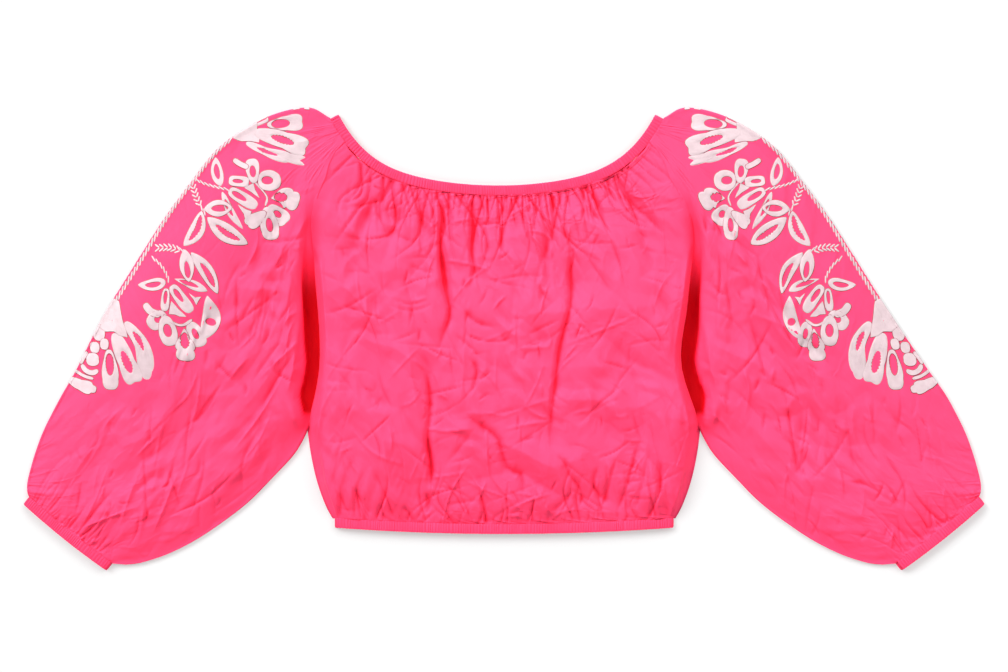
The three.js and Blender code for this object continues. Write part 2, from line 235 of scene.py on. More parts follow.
def gathers(rng, line, shares, spacing, length, depth, wide=1):
    """Fold rows for cloth gathered into a casing: narrow slits that start at the edge line(share, offset), an
    uneven spacing apart, most of them short and a few long, and sway a little as they run into the cloth."""
    rows, at = [], shares[0]
    while at < shares[1]:
        run = length[0] * (length[1] / length[0]) ** (rng.uniform() ** 1.3)
        sway = rng.normal(0, 0.012, 2) * run / 20
        points = [np.array(line(at + move, part * run)) for move, part in zip((0, *sway), (0, 0.5, 1))]
        deep = rng.uniform(*depth) * (run / length[1]) ** 0.4
        sides = wide * (0.6 + 0.25 * deep) * rng.uniform(0.5, 1.5, 2)
        rows.append((np.array(points), *sides, deep, (0.05, rng.uniform(0.6, 0.95))))
        at += rng.uniform(*spacing)
    return bent(rows)


def crumple(x, y, cell, seed):
    """The broken facets of crushed cloth: |n| of a drift n bent by another drift, so that it is creased
    along the lines where n is 0, and slopes evenly away from them."""
    wx, wy = swayed(x, y, 0.6 * cell, 1.3 * cell, seed)
    n = drift(wx, wy, cell, seed + 2)
    return np.sqrt(n * n + 0.0012) - 0.3


def facets(x, y, cell, seed):
    """Flat facets with sharp edges, as in crushed paper: random heights from -1 to 1 on a lattice of
    triangles, itself bent by a drift, with straight slopes between."""
    heights = np.random.default_rng(seed).uniform(-1, 1, (96, 96))
    wx, wy = swayed(x, y, 0.8 * cell, 2.6 * cell, seed + 1)
    a, b = (wx + 0.5 * wy) / cell + 40, wy / cell / 0.87 + 40
    i, j = np.floor(a).astype(int), np.floor(b).astype(int)
    s, t = a - i, b - j
    i, j = i % 95, j % 95
    low, high = heights[i, j], heights[i + 1, j + 1]
    right, up = heights[i + 1, j], heights[i, j + 1]
    below = low + s * (right - low) + t * (up - low)
    return np.where(s + t < 1, below, high + (1 - s) * (up - high) + (1 - t) * (right - high))


# The folds of the front: each one's points, the width to its left and right going along them, its depth,
# and the shares of its run over which it starts and ends.
FRONT_FOLDS = [
    # the long gathers under the neck
    ([(-76, 170), (-71, 154), (-76, 128), (-77, 98), (-72, 62), (-66, 27), (-73, 7), (-79, -20)],
     4.8, 2, 6.5, (0.1, 0.3)),
    ([(-74, 110), (-73, 80), (-70, 50)], 4.8, 2.7, 4, (0.4, 0.4)),
    ([(-34, 168), (-36, 130), (-40, 104), (-38, 80), (-46, 55)], 4.1, 1.5, 5, (0.1, 0.4)),
    ([(-50, 34), (-34, 20), (-4, 12)], 2.7, 2, 3.6, (0.2, 0.5)),
    ([(-126, 164), (-138, 114), (-150, 80), (-145, 58)], 9, 12, 3.6, (0.2, 0.5)),
    ([(-152, 172), (-160, 154), (-170, 126), (-186, 90)], 6, 9, 3, (0.2, 0.6)),
    ([(-162, 168), (-186, 138), (-212, 104)], 2, 1.4, 2.2, (0.1, 0.6)),
    ([(55, 146), (52, 98), (53, 66), (50, 40)], 5.4, 5.4, 4, (0.3, 0.4)),
    ([(81, 122), (80, 80), (80, 40), (71, 8), (64, -24), (62, -48), (58, -76), (56, -114), (55, -140)],
     4.8, 1.5, 5.5, (0.2, 0.35)),
    ([(43, 68), (48, 54), (62, 40)], 1.7, 3.4, 3.2, (0.3, 0.5)),
    ([(-150, 168), (-150, 150), (-150, 124)], 2, 1.4, 2.2, (0.1, 0.7)),
    ([(-98, 170), (-97, 150), (-94, 118)], 2, 1.2, 2.4, (0.05, 0.7)),
    ([(-14, 168), (-15, 150), (-16, 138)], 1.4, 1.2, 3, (0.05, 0.6)),
    ([(-2, 168), (-2, 130), (-2, 102), (2, 84)], 1.8, 1.2, 2.8, (0.05, 0.5)),
    ([(14, 170), (16, 150), (18, 124)], 1.4, 1.4, 2.4, (0.05, 0.5)),
    ([(36, 168), (36, 158), (34, 150)], 1.4, 1.4, 3, (0.05, 0.6)),
    ([(66, 172), (64, 158), (62, 144)], 1.4, 1.4, 3, (0.05, 0.6)),
    ([(102, 180), (106, 150), (107, 128)], 1.4, 1.8, 2.8, (0.05, 0.7)),
    ([(113, 174), (118, 160), (125, 144)], 1.4, 1.4, 2.8, (0.05, 0.7)),
    ([(133, 182), (138, 170), (142, 158)], 1.4, 1.4, 2.8, (0.05, 0.7)),
    ([(143, 194), (154, 170), (180, 144), (212, 104)], 2.7, 1.8, 3.4, (0.1, 0.6)),
    ([(128, 128), (142, 86), (158, 40)], 5.4, 5.4, 2.2, (0.3, 0.5)),
    ([(160, 130), (178, 96), (190, 60)], 5.4, 5.4, 2, (0.3, 0.5)),
    ([(-178, 120), (-190, 84), (-196, 44)], 9, 7, 2.2, (0.3, 0.5)),
    ([(-108, 100), (-114, 60), (-118, 24)], 10, 10, 2.4, (0.3, 0.5)),
    ([(14, 100), (12, 60), (10, 20), (6, -20)], 9, 5, 2.6, (0.3, 0.5)),
    # the middle of the body
    ([(-95, -38), (-91, -64), (-91, -92), (-94, -118), (-89, -154), (-88, -186)], 4.1, 1.6, 4.6, (0.15, 0.2)),
    ([(-94, -112), (-90, -150), (-88, -184)], 2.7, 4.8, 3.4, (0.4, 0.2)),
    ([(-45, -22), (-35, -32), (-41, -70)], 2.4, 1.7, 3.4, (0.3, 0.4)),
    ([(-49, 10), (-49, -40), (-52, -78), (-44, -100)], 4.1, 4.8, -2.6, (0.3, 0.3)),
    ([(-42, -98), (-25, -106), (-7, -120), (0, -145), (8, -160), (19, -160), (23, -171), (22, -208)],
     2, 4.1, 4.2, (0.15, 0.3)),
    ([(-30, -184), (-26, -198), (-20, -225)], 2, 1.6, 3.4, (0.2, 0.1)),
    ([(-74, -203), (-50, -199), (-26, -195)], 2, 2, 1.8, (0.3, 0.4)),
    ([(-34, -106), (-62, -142), (-76, -158)], 3.4, 2.7, 1.8, (0.3, 0.5)),
    ([(38, -60), (60, -110), (52, -150)], 9, 9, 2.4, (0.4, 0.4)),
    ([(72, -142), (78, -162), (94, -186), (92, -208)], 2.7, 1.8, 4, (0.2, 0.2)),
    ([(113, -156), (108, -176), (124, -200)], 2, 2, 3.2, (0.2, 0.3)),
    ([(166, -122), (152, -170), (137, -212)], 2.7, 2, 3, (0.3, 0.2)),
    ([(194, -146), (191, -170), (190, -190)], 2.7, 2.7, 2.6, (0.3, 0.3)),
    ([(55, -212), (70, -200), (86, -182)], 2.7, 3.4, 2.8, (0.3, 0.3)),
    ([(40, -180), (48, -198), (55, -216)], 2.7, 2, -2.4, (0.3, 0.2)),
    # pockets and puckers above the hem
    ([(-209, -160), (-203, -186), (-185, -213)], 2.7, 2, 3.4, (0.3, 0.15)),
    ([(-160, -158), (-142, -194), (-132, -217)], 3.4, 2, 3.8, (0.3, 0.15)),
    ([(-188, -178), (-172, -198), (-160, -213)], 2, 2, 2.8, (0.3, 0.15)),
    ([(-124, -202), (-115, -211), (-107, -220)], 2, 2, 3, (0.3, 0.15)),
    ([(-94, -186), (-90, -200), (-94, -214)], 2, 3.4, 3.4, (0.2, 0.2)),
    ([(138, -140), (130, -170), (122, -204)], 2.7, 2.7, 2.8, (0.3, 0.15)),
    ([(178, -130), (170, -170), (160, -206)], 3.4, 2.7, 2.6, (0.4, 0.1)),
    # thin creases across
    ([(-115, 88), (-98, 82), (-79, 80)], 1.2, 1.2, 1.6, (0.3, 0.3)),
    ([(-23, 72), (-6, 68), (14, 64)], 1.2, 1.2, 1.6, (0.3, 0.3)),
    ([(-139, -4), (-120, 2), (-104, 8)], 1.2, 1.2, 1.4, (0.3, 0.3)),
    ([(-194, 80), (-176, 81), (-158, 76)], 1.2, 1.2, 1.4, (0.3, 0.3)),
    ([(-142, 40), (-110, 34), (-80, 44)], 1.2, 1.2, 1.4, (0.3, 0.3)),
    ([(-40, 0), (-10, -4), (20, 4)], 1.2, 1.2, 1.6, (0.3, 0.3)),
    ([(84, 20), (100, 10), (112, -6)], 1.2, 1.2, 1.6, (0.3, 0.3)),
    # wide soft hollows
    ([(-140, 40), (-150, -20), (-140, -90)], 22, 22, 2.6, (0.4, 0.4)),
    ([(130, 30), (150, -40), (140, -110)], 24, 20, 2.2, (0.4, 0.4)),
    ([(0, 30), (0, -20), (10, -70)], 16, 20, 2.4, (0.4, 0.4)),
]


def slack(x, y, amount, seed):
    """How much longer or shorter than its space the cloth is, from place to place: amount times a drift of
    wide cells and one of narrow cells."""
    wx, wy = swayed(x, y, 6, 30, seed)
    return amount * (0.6 * drift(wx, wy, 26, seed + 2) + 0.4 * drift(wx, wy, 13, seed + 3))


def finer(grid):
    """A grid with a new point half way between each two neighbours."""
    out = np.empty((2 * grid.shape[0] - 1, 2 * grid.shape[1] - 1, *grid.shape[2:]))
    out[::2, ::2] = grid
    out[1::2, ::2] = (grid[:-1] + grid[1:]) / 2
    out[:, 1::2] = (out[:, :-2:2] + out[:, 2::2]) / 2
    return out


def evened(grid):
    """The grid with each inner point moved half way to the middle of its four neighbours, twice."""
    for _ in range(2):
        around = grid[:-2, 1:-1] + grid[2:, 1:-1] + grid[1:-1, :-2] + grid[1:-1, 2:]
        grid[1:-1, 1:-1] += 0.5 * (around / 4 - grid[1:-1, 1:-1])
    return grid


def midway(grid, axis):
    """The middles between neighbours along an axis."""
    grid = np.moveaxis(grid, axis, 0)
    return np.moveaxis((grid[1:] + grid[:-1]) / 2, 0, axis)


def relax(points, ties, ceiling, floor, rounds, bend, least, held):
    """Cloth as points and ties. Each round moves the two ends of every tie apart or together by the gap
    between its length and its rest, times how stiff it is, and by 0.7 of that if it is too short. It then
    moves each point a share of the way to the middle of its neighbours, keeps the cloth between floor and
    ceiling and from folding back over itself, and puts the held points back."""
    start = points[held].copy()
    for _ in range(rounds):
        for a, b, rest, stiff in ties:
            gap = points[b] - points[a]
            size = np.sqrt((gap * gap).sum(-1)) + 1e-9
            off = (size - rest) / size
            move = (0.5 * stiff * np.where(off < 0, 0.7 * off, off))[..., None] * gap
            points[a] += move
            points[b] -= move
        even = np.zeros_like(points)
        even[:, 1:-1] += (points[:, :-2] + points[:, 2:]) / 2 - points[:, 1:-1]
        even[1:-1] += (points[:-2] + points[2:]) / 2 - points[1:-1]
        for c, d in ((points[:-2, :-2], points[2:, 2:]), (points[2:, :-2], points[:-2, 2:])):
            even[1:-1, 1:-1] += 0.6 * ((c + d) / 2 - points[1:-1, 1:-1])
        points += bend * even
        points[..., 2] = np.clip(points[..., 2], floor, ceiling)
        for axis in (0, 1):
            low, high = (points[:, :-1], points[:, 1:]) if axis == 0 else (points[:-1], points[1:])
            lack = np.maximum(least - (high[..., axis] - low[..., axis]), 0) / 2
            low[..., axis] -= lack
            high[..., axis] += lack
        points[held] = start
    return points


def settle(x, y, ceiling, floor, across, along, seed):
    """Lets cloth that is longer than its space find its own folds under a ceiling, which presses them flat
    and leaves narrow valleys. across and along are its lengths as shares of those on the ceiling. It
    settles on every fourth point, then every second, then on all, and each time starts from small random
    dips. Its four edges are held."""
    rng = np.random.default_rng(seed)
    points = None
    for skip, rounds, bend in ((4, 400, 0.02), (2, 250, 0.022), (1, 160, 0.022)):
        pick = (slice(None, None, skip),) * 2
        base = np.stack([x[pick], y[pick], ceiling[pick]], -1)
        points = base.copy() if points is None else finer(points)
        points[..., 2] -= rng.uniform(0, 0.25 * skip, base.shape[:2])
        right, up = np.diff(base, axis=1), np.diff(base, axis=0)
        rest_h = np.linalg.norm(right, axis=-1) * midway(across[pick], 1)
        rest_v = np.linalg.norm(up, axis=-1) * midway(along[pick], 0)
        # the diagonals' lengths, by the cosine rule
        a, b = midway(right, 0), midway(up, 1)
        lean = (a * b).sum(-1) / np.linalg.norm(a, axis=-1) / np.linalg.norm(b, axis=-1)
        h, v = midway(rest_h, 0), midway(rest_v, 1)
        fall, climb = np.sqrt(h**2 + v**2 + 2 * h * v * lean), np.sqrt(h**2 + v**2 - 2 * h * v * lean)
        # each kind of tie in two sets, so that no point is in two ties of a set
        ties = []
        for k in (0, 1):
            n, m = (base.shape[0] - k) // 2 * 2 + k, (base.shape[1] - k) // 2 * 2 + k
            row, next_row = slice(k, n - 1, 2), slice(k + 1, n, 2)
            column, next_column = slice(k, m - 1, 2), slice(k + 1, m, 2)
            ties.append((np.s_[:, column], np.s_[:, next_column], rest_h[:, column], 1.0))
            ties.append((np.s_[row], np.s_[next_row], rest_v[row], 1.0))
            ties.append((np.s_[row, :-1], np.s_[next_row, 1:], fall[row], 0.35))
            ties.append((np.s_[row, 1:], np.s_[next_row, :-1], climb[row], 0.35))
        held = np.ones(base.shape[:2], bool)
        held[1:-1, 1:-1] = False
        least = 0.22 * np.median(rest_h)
        points = relax(points, ties, ceiling[pick], floor[pick], rounds, bend, least, held)
    return points


def straight_down(share, offset):
    """A line straight down from the neck casing, spreading a little."""
    return NECK_HALF * share * (1 + 0.0008 * offset), neck_line(share, CASING_WIDTH)[1] - offset


def below_neck(share, offset):
    """A line square to the neck casing, into the body."""
    return neck_line(share, CASING_WIDTH + offset)


def above_hem(share, offset):
    """A line up from the hem casing, into the body."""
    return hem_line(share, -offset)


u, v = np.meshgrid(np.linspace(-1, 1, 401), np.linspace(0, 1, 225))
x, y, crown, edge = body_plan(1.002 * u, v)
from_ends = BODY_LENGTH * np.minimum(v, 1 - v)
rng = np.random.default_rng(4)
placed = folds(x, y, bent(FRONT_FOLDS))
long = folds(x, y, gathers(rng, straight_down, (-0.88, 0.88), (0.06, 0.14), (120, 340), (2.5, 5), 3))
depth = placed + long
# beside the arms the side edge is a steep wall, and above them it slopes gently down to the seam
beside_arm = step(-118, -95, y) * (1 - step(70, 120, y))
power = 16 + 24 * beside_arm - 9 * step(85, 125, y)
top = edge + (crown - depth - edge) * domed(u, power)
# cloth longer than its space, most of all beside the casings that gather it
free = step(0, 14, from_ends)
full = 0.003 + 0.05 * np.exp((v - 1) * BODY_LENGTH / 10) + 0.05 * np.exp(-v * BODY_LENGTH / 18)
across = 1 + full * free + slack(x, y, 0.03, 9) * free
along = 1.004 + slack(x, y, 0.03, 19) * free
coarse = [part[::2, ::2] for part in (x, y, top, edge, across, along)]
x, y, z = np.moveaxis(evened(finer(settle(*coarse, 5))), -1, 0)
x = np.clip(x, x[:, :1], x[:, -1:])


def surroundings(z, reaches=(1, 2, 4, 5)):
    """The mean height of the cloth around each point: each averaged with the four that lie a reach away from
    it, for one reach after another."""
    for reach in reaches:
        wide = np.pad(z, reach, mode="edge")
        sides = wide[: -2 * reach, reach:-reach] + wide[2 * reach :, reach:-reach]
        sides = sides + wide[reach:-reach, : -2 * reach] + wide[reach:-reach, 2 * reach :]
        z = (z + sides) / 5
    return z


def eased(z, where):
    """The sheet with its narrow pits made shallower: a gap g below the surroundings becomes m tanh(g / m),
    with m 4.2 mm for surroundings a dozen points away, and then 1.3 mm for those three points away."""
    for most, reaches in ((4.2, (1, 2, 4, 5)), (1.3, (1, 2))):
        gap = np.maximum(surroundings(z, reaches) - z, 0)
        z = z + (gap - most * np.tanh(gap / most)) * where
    return z


def hollows(z):
    """How far each point lies in a hollow, from 0 to 0.7: 0.7 (g / 3.6 - 0.12), with g its depth below its
    wide surroundings, or 0.7 (g / 1.5 - 0.3), with g that below its near ones, whichever is more."""
    # the share of painted shade for the cloth's colour there
    narrow = (surroundings(z, (1, 2)) - z) / 1.5 - 0.3
    return 0.7 * np.clip(np.maximum((surroundings(z) - z) / 3.6 - 0.12, narrow), 0, 1)


def beneath(z):
    """Heights for the inner face of a sheet, at its own points: lower than all the cloth around each."""
    wide = np.pad(z, LINING_STEP, mode="edge")
    around = np.lib.stride_tricks.sliding_window_view(wide, (2 * LINING_STEP + 1,) * 2)
    return around[::LINING_STEP, ::LINING_STEP].min((-1, -2)) - SHEET_THICKNESS


def add_object(name, data):
    """An object of the scene that holds a mesh, a lamp or a camera."""
    made = bpy.data.objects.new(name, data)
    bpy.context.scene.collection.objects.link(made)
    return made


def add_piece(name, points, faces, uv, deep=None):
    """A smooth piece of the blouse from its points, faces and a UV for each point, all in metres. deep is how
    much painted shade each point's colour gets: redder and darker in hollows, creases and seams."""
    mesh = bpy.data.meshes.new(name)
    mesh.from_pydata(points, [], faces)
    corners = np.empty(len(mesh.loops), np.int32)
    mesh.loops.foreach_get("vertex_index", corners)
    mesh.uv_layers.new(name="cut").data.foreach_set("uv", uv[corners].ravel())
    if deep is not None:
        mesh.attributes.new("deep", "FLOAT", "POINT").data.foreach_set("value", deep.ravel())
    mesh.polygons.foreach_set("use_smooth", np.ones(len(faces), bool))
    mesh.update()
    return add_object(name, mesh)


def sheet_mesh(name, x, y, z, inner, deep, flip=False):
    """A grid of points as a closed shell. Its outer face is the grid, its inner face has the heights inner
    at its own points, which are fewer, and a strip of triangles joins their edges. The UV map is the run
    across and along the cloth. A mirrored sheet has its faces flipped."""
    every = np.s_[::LINING_STEP, ::LINING_STEP]
    grid = np.stack([x, y, z], -1) * MM
    lining = np.stack([x[every], y[every], np.maximum(inner, 0.05)], -1) * MM
    faces, loops, start = [], [], 0
    for points, order in ((grid, [0, 1, 2, 3]), (lining, [3, 2, 1, 0])):
        at = start + np.arange(points[..., 0].size).reshape(points.shape[:2])
        quads = np.stack([at[:-1, :-1], at[:-1, 1:], at[1:, 1:], at[1:, :-1]], -1).reshape(-1, 4)
        faces.append(quads[:, order])
        loops.append(np.r_[at[0, :-1], at[:-1, -1], at[-1, :0:-1], at[:0:-1, 0]])
        start += at.size
    fine, wide = loops
    middle = LINING_STEP // 2
    nearest = wide[(np.arange(len(fine)) + middle) // LINING_STEP % len(wide)]
    faces.append(np.column_stack([np.roll(fine, -1), fine, nearest]))
    faces.append(np.column_stack([fine[middle::LINING_STEP], wide, np.roll(wide, -1)]))
    faces = [face for kind in faces for face in kind[:, :: -1 if flip else 1].tolist()]
    across = np.linalg.norm(np.diff(grid, axis=1, prepend=grid[:, :1]), axis=-1).cumsum(1)
    along = np.linalg.norm(np.diff(grid, axis=0, prepend=grid[:1]), axis=-1).cumsum(0)
    uv = np.stack([across, along], -1)
    uv = np.vstack([uv.reshape(-1, 2), uv[every].reshape(-1, 2)])
    deep = np.r_[deep.ravel(), 0 * inner.ravel()]
    return add_piece(name, np.vstack([grid.reshape(-1, 3), lining.reshape(-1, 3)]), faces, uv, deep)


def feed(tree, node, inputs):
    """Gives each named input of a node its value, or links it to an output of another node."""
    for name, given in inputs.items():
        if isinstance(given, bpy.types.NodeSocket):
            tree.links.new(given, node.inputs[name])
        else:
            node.inputs[name].default_value = given


def add_node(tree, kind, inputs, **settings):
    """A shader node of a kind with its settings made and its inputs fed."""
    node = tree.nodes.new("ShaderNode" + kind)
    for name, value in settings.items():
        setattr(node, name, value)
    feed(tree, node, inputs)
    return node


def add_ramp(tree, share, stops):
    """The colour output of a ramp between two stops, each a position and a colour, read at a share."""
    ramp = add_node(tree, "ValToRGB", {"Fac": share})
    for element, (position, colour) in zip(ramp.color_ramp.elements, stops):
        element.position = position
        element.color = (*colour, 1)
    return ramp.outputs["Color"]


def add_material(name, inputs):
    """A new material with its node tree and its shader, some of whose inputs are set."""
    material = bpy.data.materials.new(name)
    material.use_nodes = True
    shader = material.node_tree.nodes["Principled BSDF"]
    feed(material.node_tree, shader, inputs)
    return material, material.node_tree, shader


PINK = (0.93, 0.094, 0.212)
# painted shade: redder and darker deeper in a fold, standing in for light bounced between its sides; depths
# in the hollow, and their colours
PAINTED_FOLD_SHADE = [(0.5, (0.86, 0.024, 0.08)), (0.9, (0.52, 0.003, 0.014))]


def viscose_material():
    """Thin matt cloth: weave and fine creases as bump, a slow drift of colour, and painted red shade in
    hollows.
    """
    look = {"Roughness": 0.72, "Sheen Weight": 0.12, "Sheen Roughness": 0.45, "Specular IOR Level": 0.25}
    look["Sheen Tint"] = (1.0, 0.55, 0.7, 1.0)
    material, tree, shader = add_material("viscose", look)
    place = add_node(tree, "TexCoord", {}).outputs["Object"]
    patches = add_node(tree, "TexNoise", {"Scale": 14, "Detail": 3, "Vector": place})
    tones = [(0, [c * 0.93 for c in PINK]), (1, [min(1, c * 1.06) for c in PINK])]
    # painted shade: the deep attribute mixes the colour towards redder, darker tones in hollows, creases,
    # seams and between ribs
    hollow = add_node(tree, "Attribute", {}, attribute_name="deep").outputs["Fac"]
    plain, deep = add_ramp(tree, patches.outputs["Fac"], tones), add_ramp(tree, hollow, PAINTED_FOLD_SHADE)
    parts = {"Factor": hollow, 6: plain, 7: deep}
    feed(tree, shader, {"Base Color": add_node(tree, "Mix", parts, data_type="RGBA").outputs[2]})
    uv = add_node(tree, "UVMap", {}, uv_map="cut").outputs["UV"]
    threads = []
    for scale in ((2600, 60, 1), (60, 2600, 1)):
        stretch = add_node(tree, "Mapping", {"Scale": scale, "Vector": uv}).outputs["Vector"]
        noise = add_node(tree, "TexNoise", {"Scale": 1, "Detail": 1, "Vector": stretch})
        threads.append(noise.outputs["Fac"])
    weave = add_node(tree, "Math", {0: threads[0], 1: threads[1]}, operation="ADD").outputs["Value"]
    bump = add_node(tree, "Bump", {"Strength": 0.34, "Distance": 0.0002, "Height": weave})
    # the finest creases of crushed cloth, thinner than the mesh can hold
    for scale, size in ((30, 0.003), (72, 0.001)):
        drawn = add_node(tree, "Mapping", {"Scale": (scale, 0.55 * scale, 1), "Vector": uv}).outputs["Vector"]
        crush = {"Scale": 1, "Detail": 3, "Roughness": 0.35, "Distortion": 0.6, "Vector": drawn}
        fine = add_node(tree, "TexNoise", crush, noise_type="RIDGED_MULTIFRACTAL").outputs["Fac"]
        normal = bump.outputs["Normal"]
        bump = add_node(tree, "Bump", {"Strength": 1.0, "Distance": size, "Height": fine, "Normal": normal})
    feed(tree, shader, {"Normal": bump.outputs["Normal"]})
    return material


viscose = viscose_material()

# the sharp gathers, creases and facets that settling leaves out
short = gathers(rng, below_neck, (-0.93, 0.93), (0.018, 0.045), (18, 130), (4, 8), 0.65)
short += gathers(rng, below_neck, (-0.9, 0.9), (0.03, 0.08), (60, 150), (2.5, 4.5), 0.8)
short += gathers(rng, above_hem, (-0.97, 0.97), (0.015, 0.05), (10, 110), (2, 5), 0.8)
thin = creases(rng, 400, ((-235, -225), (235, 240)), (15, 110), (0.6, 1.4), (0.8, 2.8))
side = 1 - u**8
z = z - (1.2 * placed + folds(x, y, short)) * step(0, 5, from_ends) * side - folds(x, y, thin) * side
free = step(0, 30, BODY_LENGTH * v) * step(0, 60, BODY_LENGTH * (1 - v)) * side
rough = 0.35 + 0.65 * step(-0.3, 0.4, drift(x, y, 60, 71))
fine = 2.8 * facets(x, 0.7 * y, 17, 87) + 4.8 * crumple(x, 0.7 * y, 28, 91)
z = z - free * (6.4 * facets(x, 0.6 * y, 38, 81) + rough * fine)
z = np.maximum(z, np.minimum(edge, 3.2))
# the painted shade of hollows is taken before they are eased, away from the rolled edges
flat = 1 - step(0.93, 0.97, np.abs(u))
low = hollows(z) * flat
z = eased(z, flat)
# painted shade along the front's edges beside the top of the raglan seams
seam_shade = 0.5 * step(0.93, 0.99, np.abs(u)) * step(85, 105, y) * (1 - step(140, 190, y))
deep = np.maximum(low, seam_shade)
front = sheet_mesh("front", pull(x, y), y, z, beneath(z), deep)
front.data.materials.append(viscose)
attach(front, "root")
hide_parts("front_panel")

# ---- The back -------------------------------------------------------------------------------------------
# The same cut of viscose as the front, gathered into the same casings and sewn to the same sleeves. It lies
# flat underneath, on the surface, with a few slack ripples.

u, v = np.meshgrid(np.linspace(-1, 1, 153), np.linspace(0, 1, 113))
x, y, crown, edge = body_plan(1.012 * u, v)
ripple = 0.7 * (1 + drift(x, y * 0.4, 26, 21)) * (1 - u**8) * np.sin(math.pi * v) ** 0.3
back = sheet_mesh("back", pull(x, y), y, 0.9 + ripple, beneath(0.9 + ripple), 0 * x)
back.data.materials.append(viscose)
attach(back, "root")
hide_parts("back_panel")

# ---- The sleeves ----------------------------------------------------------------------------------------
# Each is one wide cut of the same viscose, folded at the top, sewn to itself along the underarm and to the
# body along the raglan seams, and gathered into the neck and into the cuff, so it stands full in between.

# the share of the neck's half where the sleeve begins, just past the body's
SLEEVE_AT_NECK = 0.9105
SLEEVE_LENGTH = 470
FOLD_RADIUS = 2.6
# how far the sleeve's back stands off the surface at the fold, for the stitching under it
STITCH_ROOM = 0.7
# the cuff's two ends
CUFF_UNDER = np.array([470.5, -268.5])
CUFF_FOLD = np.array([571.0, -188.0])
# The sleeve from cuff to neck: its inner edge's x and y, crown of the sleeve, height of the edge, width of
# the crease's floor, and the top fold's x and y beside it.
SLEEVE_SIDES = [
    (470.3, -268.3, 8.8, 4.6, 0, 571.2, -187.8),
    (450, -270, 12.5, 4, 0, 572.5, -185),
    (418, -263.5, 15, 3.6, 0, 573.5, -180),
    (380, -248, 17, 3.5, 0, 573.5, -173),
    (337, -222, 18.5, 3.4, 0, 572, -164),
    (300, -194, 19.5, 3.3, 0, 569, -152),
    (271, -164, 20.5, 3.3, 0, 564, -135),
    (248, -135, 21.5, 3.3, 0, 556, -113),
    (232.4, -103, 23, 3.3, 3, 545, -90),
    (225.3, -72, 25, 3.3, 16, 532, -66),
    (219.3, -42, 26.5, 3.3, 14, 516, -41),
    (217.8, -8, 27.5, 3.3, 18, 497, -9),
    (219.3, 30, 28, 3.9, 19, 474, 30),
    (221.8, 67, 28, 8.2, 17, 449, 70),
    (222.3, 95, 27, 14.2, 12, 424, 110),
    (222.8, 120, 25.5, 18.3, 6, 398, 150),
    (219.8, 143, 23.5, 21.6, 0, 370, 188),
    (213.3, 164, 21.5, 20.1, 0, 335, 231),
    (202.2, 185, 18.5, 17.2, 0, 284, 264.5),
    (191.7, 209, 14, 12.4, 0, 230, 278.5),
    (174.6, 226.4, 9.2, 8.8, 0, 202.3, 266),
]


def cuff_line(share, offset):
    """The cuff's edge from underarm to fold, an arc with a bow of 2 mm, moved offset out of the sleeve."""
    way = CUFF_FOLD - CUFF_UNDER
    out = offset + 8 * share * (1 - share)
    length = np.hypot(*way)
    x = CUFF_UNDER[0] + way[0] * share + way[1] / length * out
    return x, CUFF_UNDER[1] + way[1] * share - way[0] / length * out


def beside_neck(share, offset):
    """A line square to the neck casing, into the sleeve, at a share of the sleeve's width there."""
    return neck_line(SLEEVE_AT_NECK + (1 - SLEEVE_AT_NECK) * share, CASING_WIDTH + offset)


def beside_cuff(share, offset):
    """A line square to the cuff casing, into the sleeve."""
    return cuff_line(share, -offset)


def sleeve_plan(q, v):
    """Coons patch of a sleeve: q from the inner edge to the fold, v from the cuff to the neck. The table has
    both sides, and the ends are the cuff's and the neck's edges. Gives x, y, the crown, the height of the
    inner edge and the width of the crease's floor."""
    inner_x, inner_y, crown, edge, floor, fold_x, fold_y = np.moveaxis(through(SLEEVE_SIDES, v), -1, 0)
    x = inner_x + (fold_x - inner_x) * q
    y = inner_y + (fold_y - inner_y) * q
    for end, line in ((0.0, cuff_line(q, TUCK)), (1.0, beside_neck(q, -TUCK))):
        corner = through(SLEEVE_SIDES, np.array(end))
        weight = 1 - np.abs(v - end)
        x = x + weight * (line[0] - corner[0] - (corner[5] - corner[0]) * q)
        y = y + weight * (line[1] - corner[1] - (corner[6] - corner[1]) * q)
    return x, y, crown, edge, floor


# The folds of a sleeve, in columns like the front's.
SLEEVE_FOLDS = [
    ([(192, 200), (207, 166), (228, 138), (238, 96)], 9, 13, 4.2, (0.15, 0.5)),
    ([(250, 240), (246, 200), (262, 150), (280, 100)], 8, 10, 4, (0.3, 0.5)),
    ([(230, 262), (236, 236), (232, 210)], 5, 6, 3, (0.2, 0.5)),
    ([(216, 258), (222, 240), (216, 222)], 3, 4, 2.6, (0.1, 0.5)),
    ([(206, 250), (210, 236), (206, 226)], 3, 3, 2, (0.1, 0.5)),
    ([(262, 190), (272, 110), (282, 20)], 14, 14, 3.4, (0.4, 0.4)),
    ([(330, 10), (348, -70), (372, -150)], 16, 16, 3.2, (0.4, 0.4)),
    ([(300, 60), (306, -20), (322, -100)], 12, 16, 2.6, (0.4, 0.4)),
    ([(380, -40), (410, -120), (450, -180)], 12, 12, 2.6, (0.4, 0.4)),
    ([(420, -60), (470, -130), (520, -190)], 9, 9, 3, (0.4, 0.3)),
    ([(280, -150), (340, -190), (410, -222), (456, -246)], 7, 8, -2.8, (0.3, 0.2)),
    ([(300, -176), (350, -208), (420, -240), (460, -254)], 5, 5, 2.6, (0.3, 0.2)),
    ([(268, -70), (290, -110), (300, -150)], 9, 9, 2.4, (0.4, 0.4)),
    ([(470, -80), (510, -120), (545, -165)], 9, 9, 2.4, (0.4, 0.3)),
]


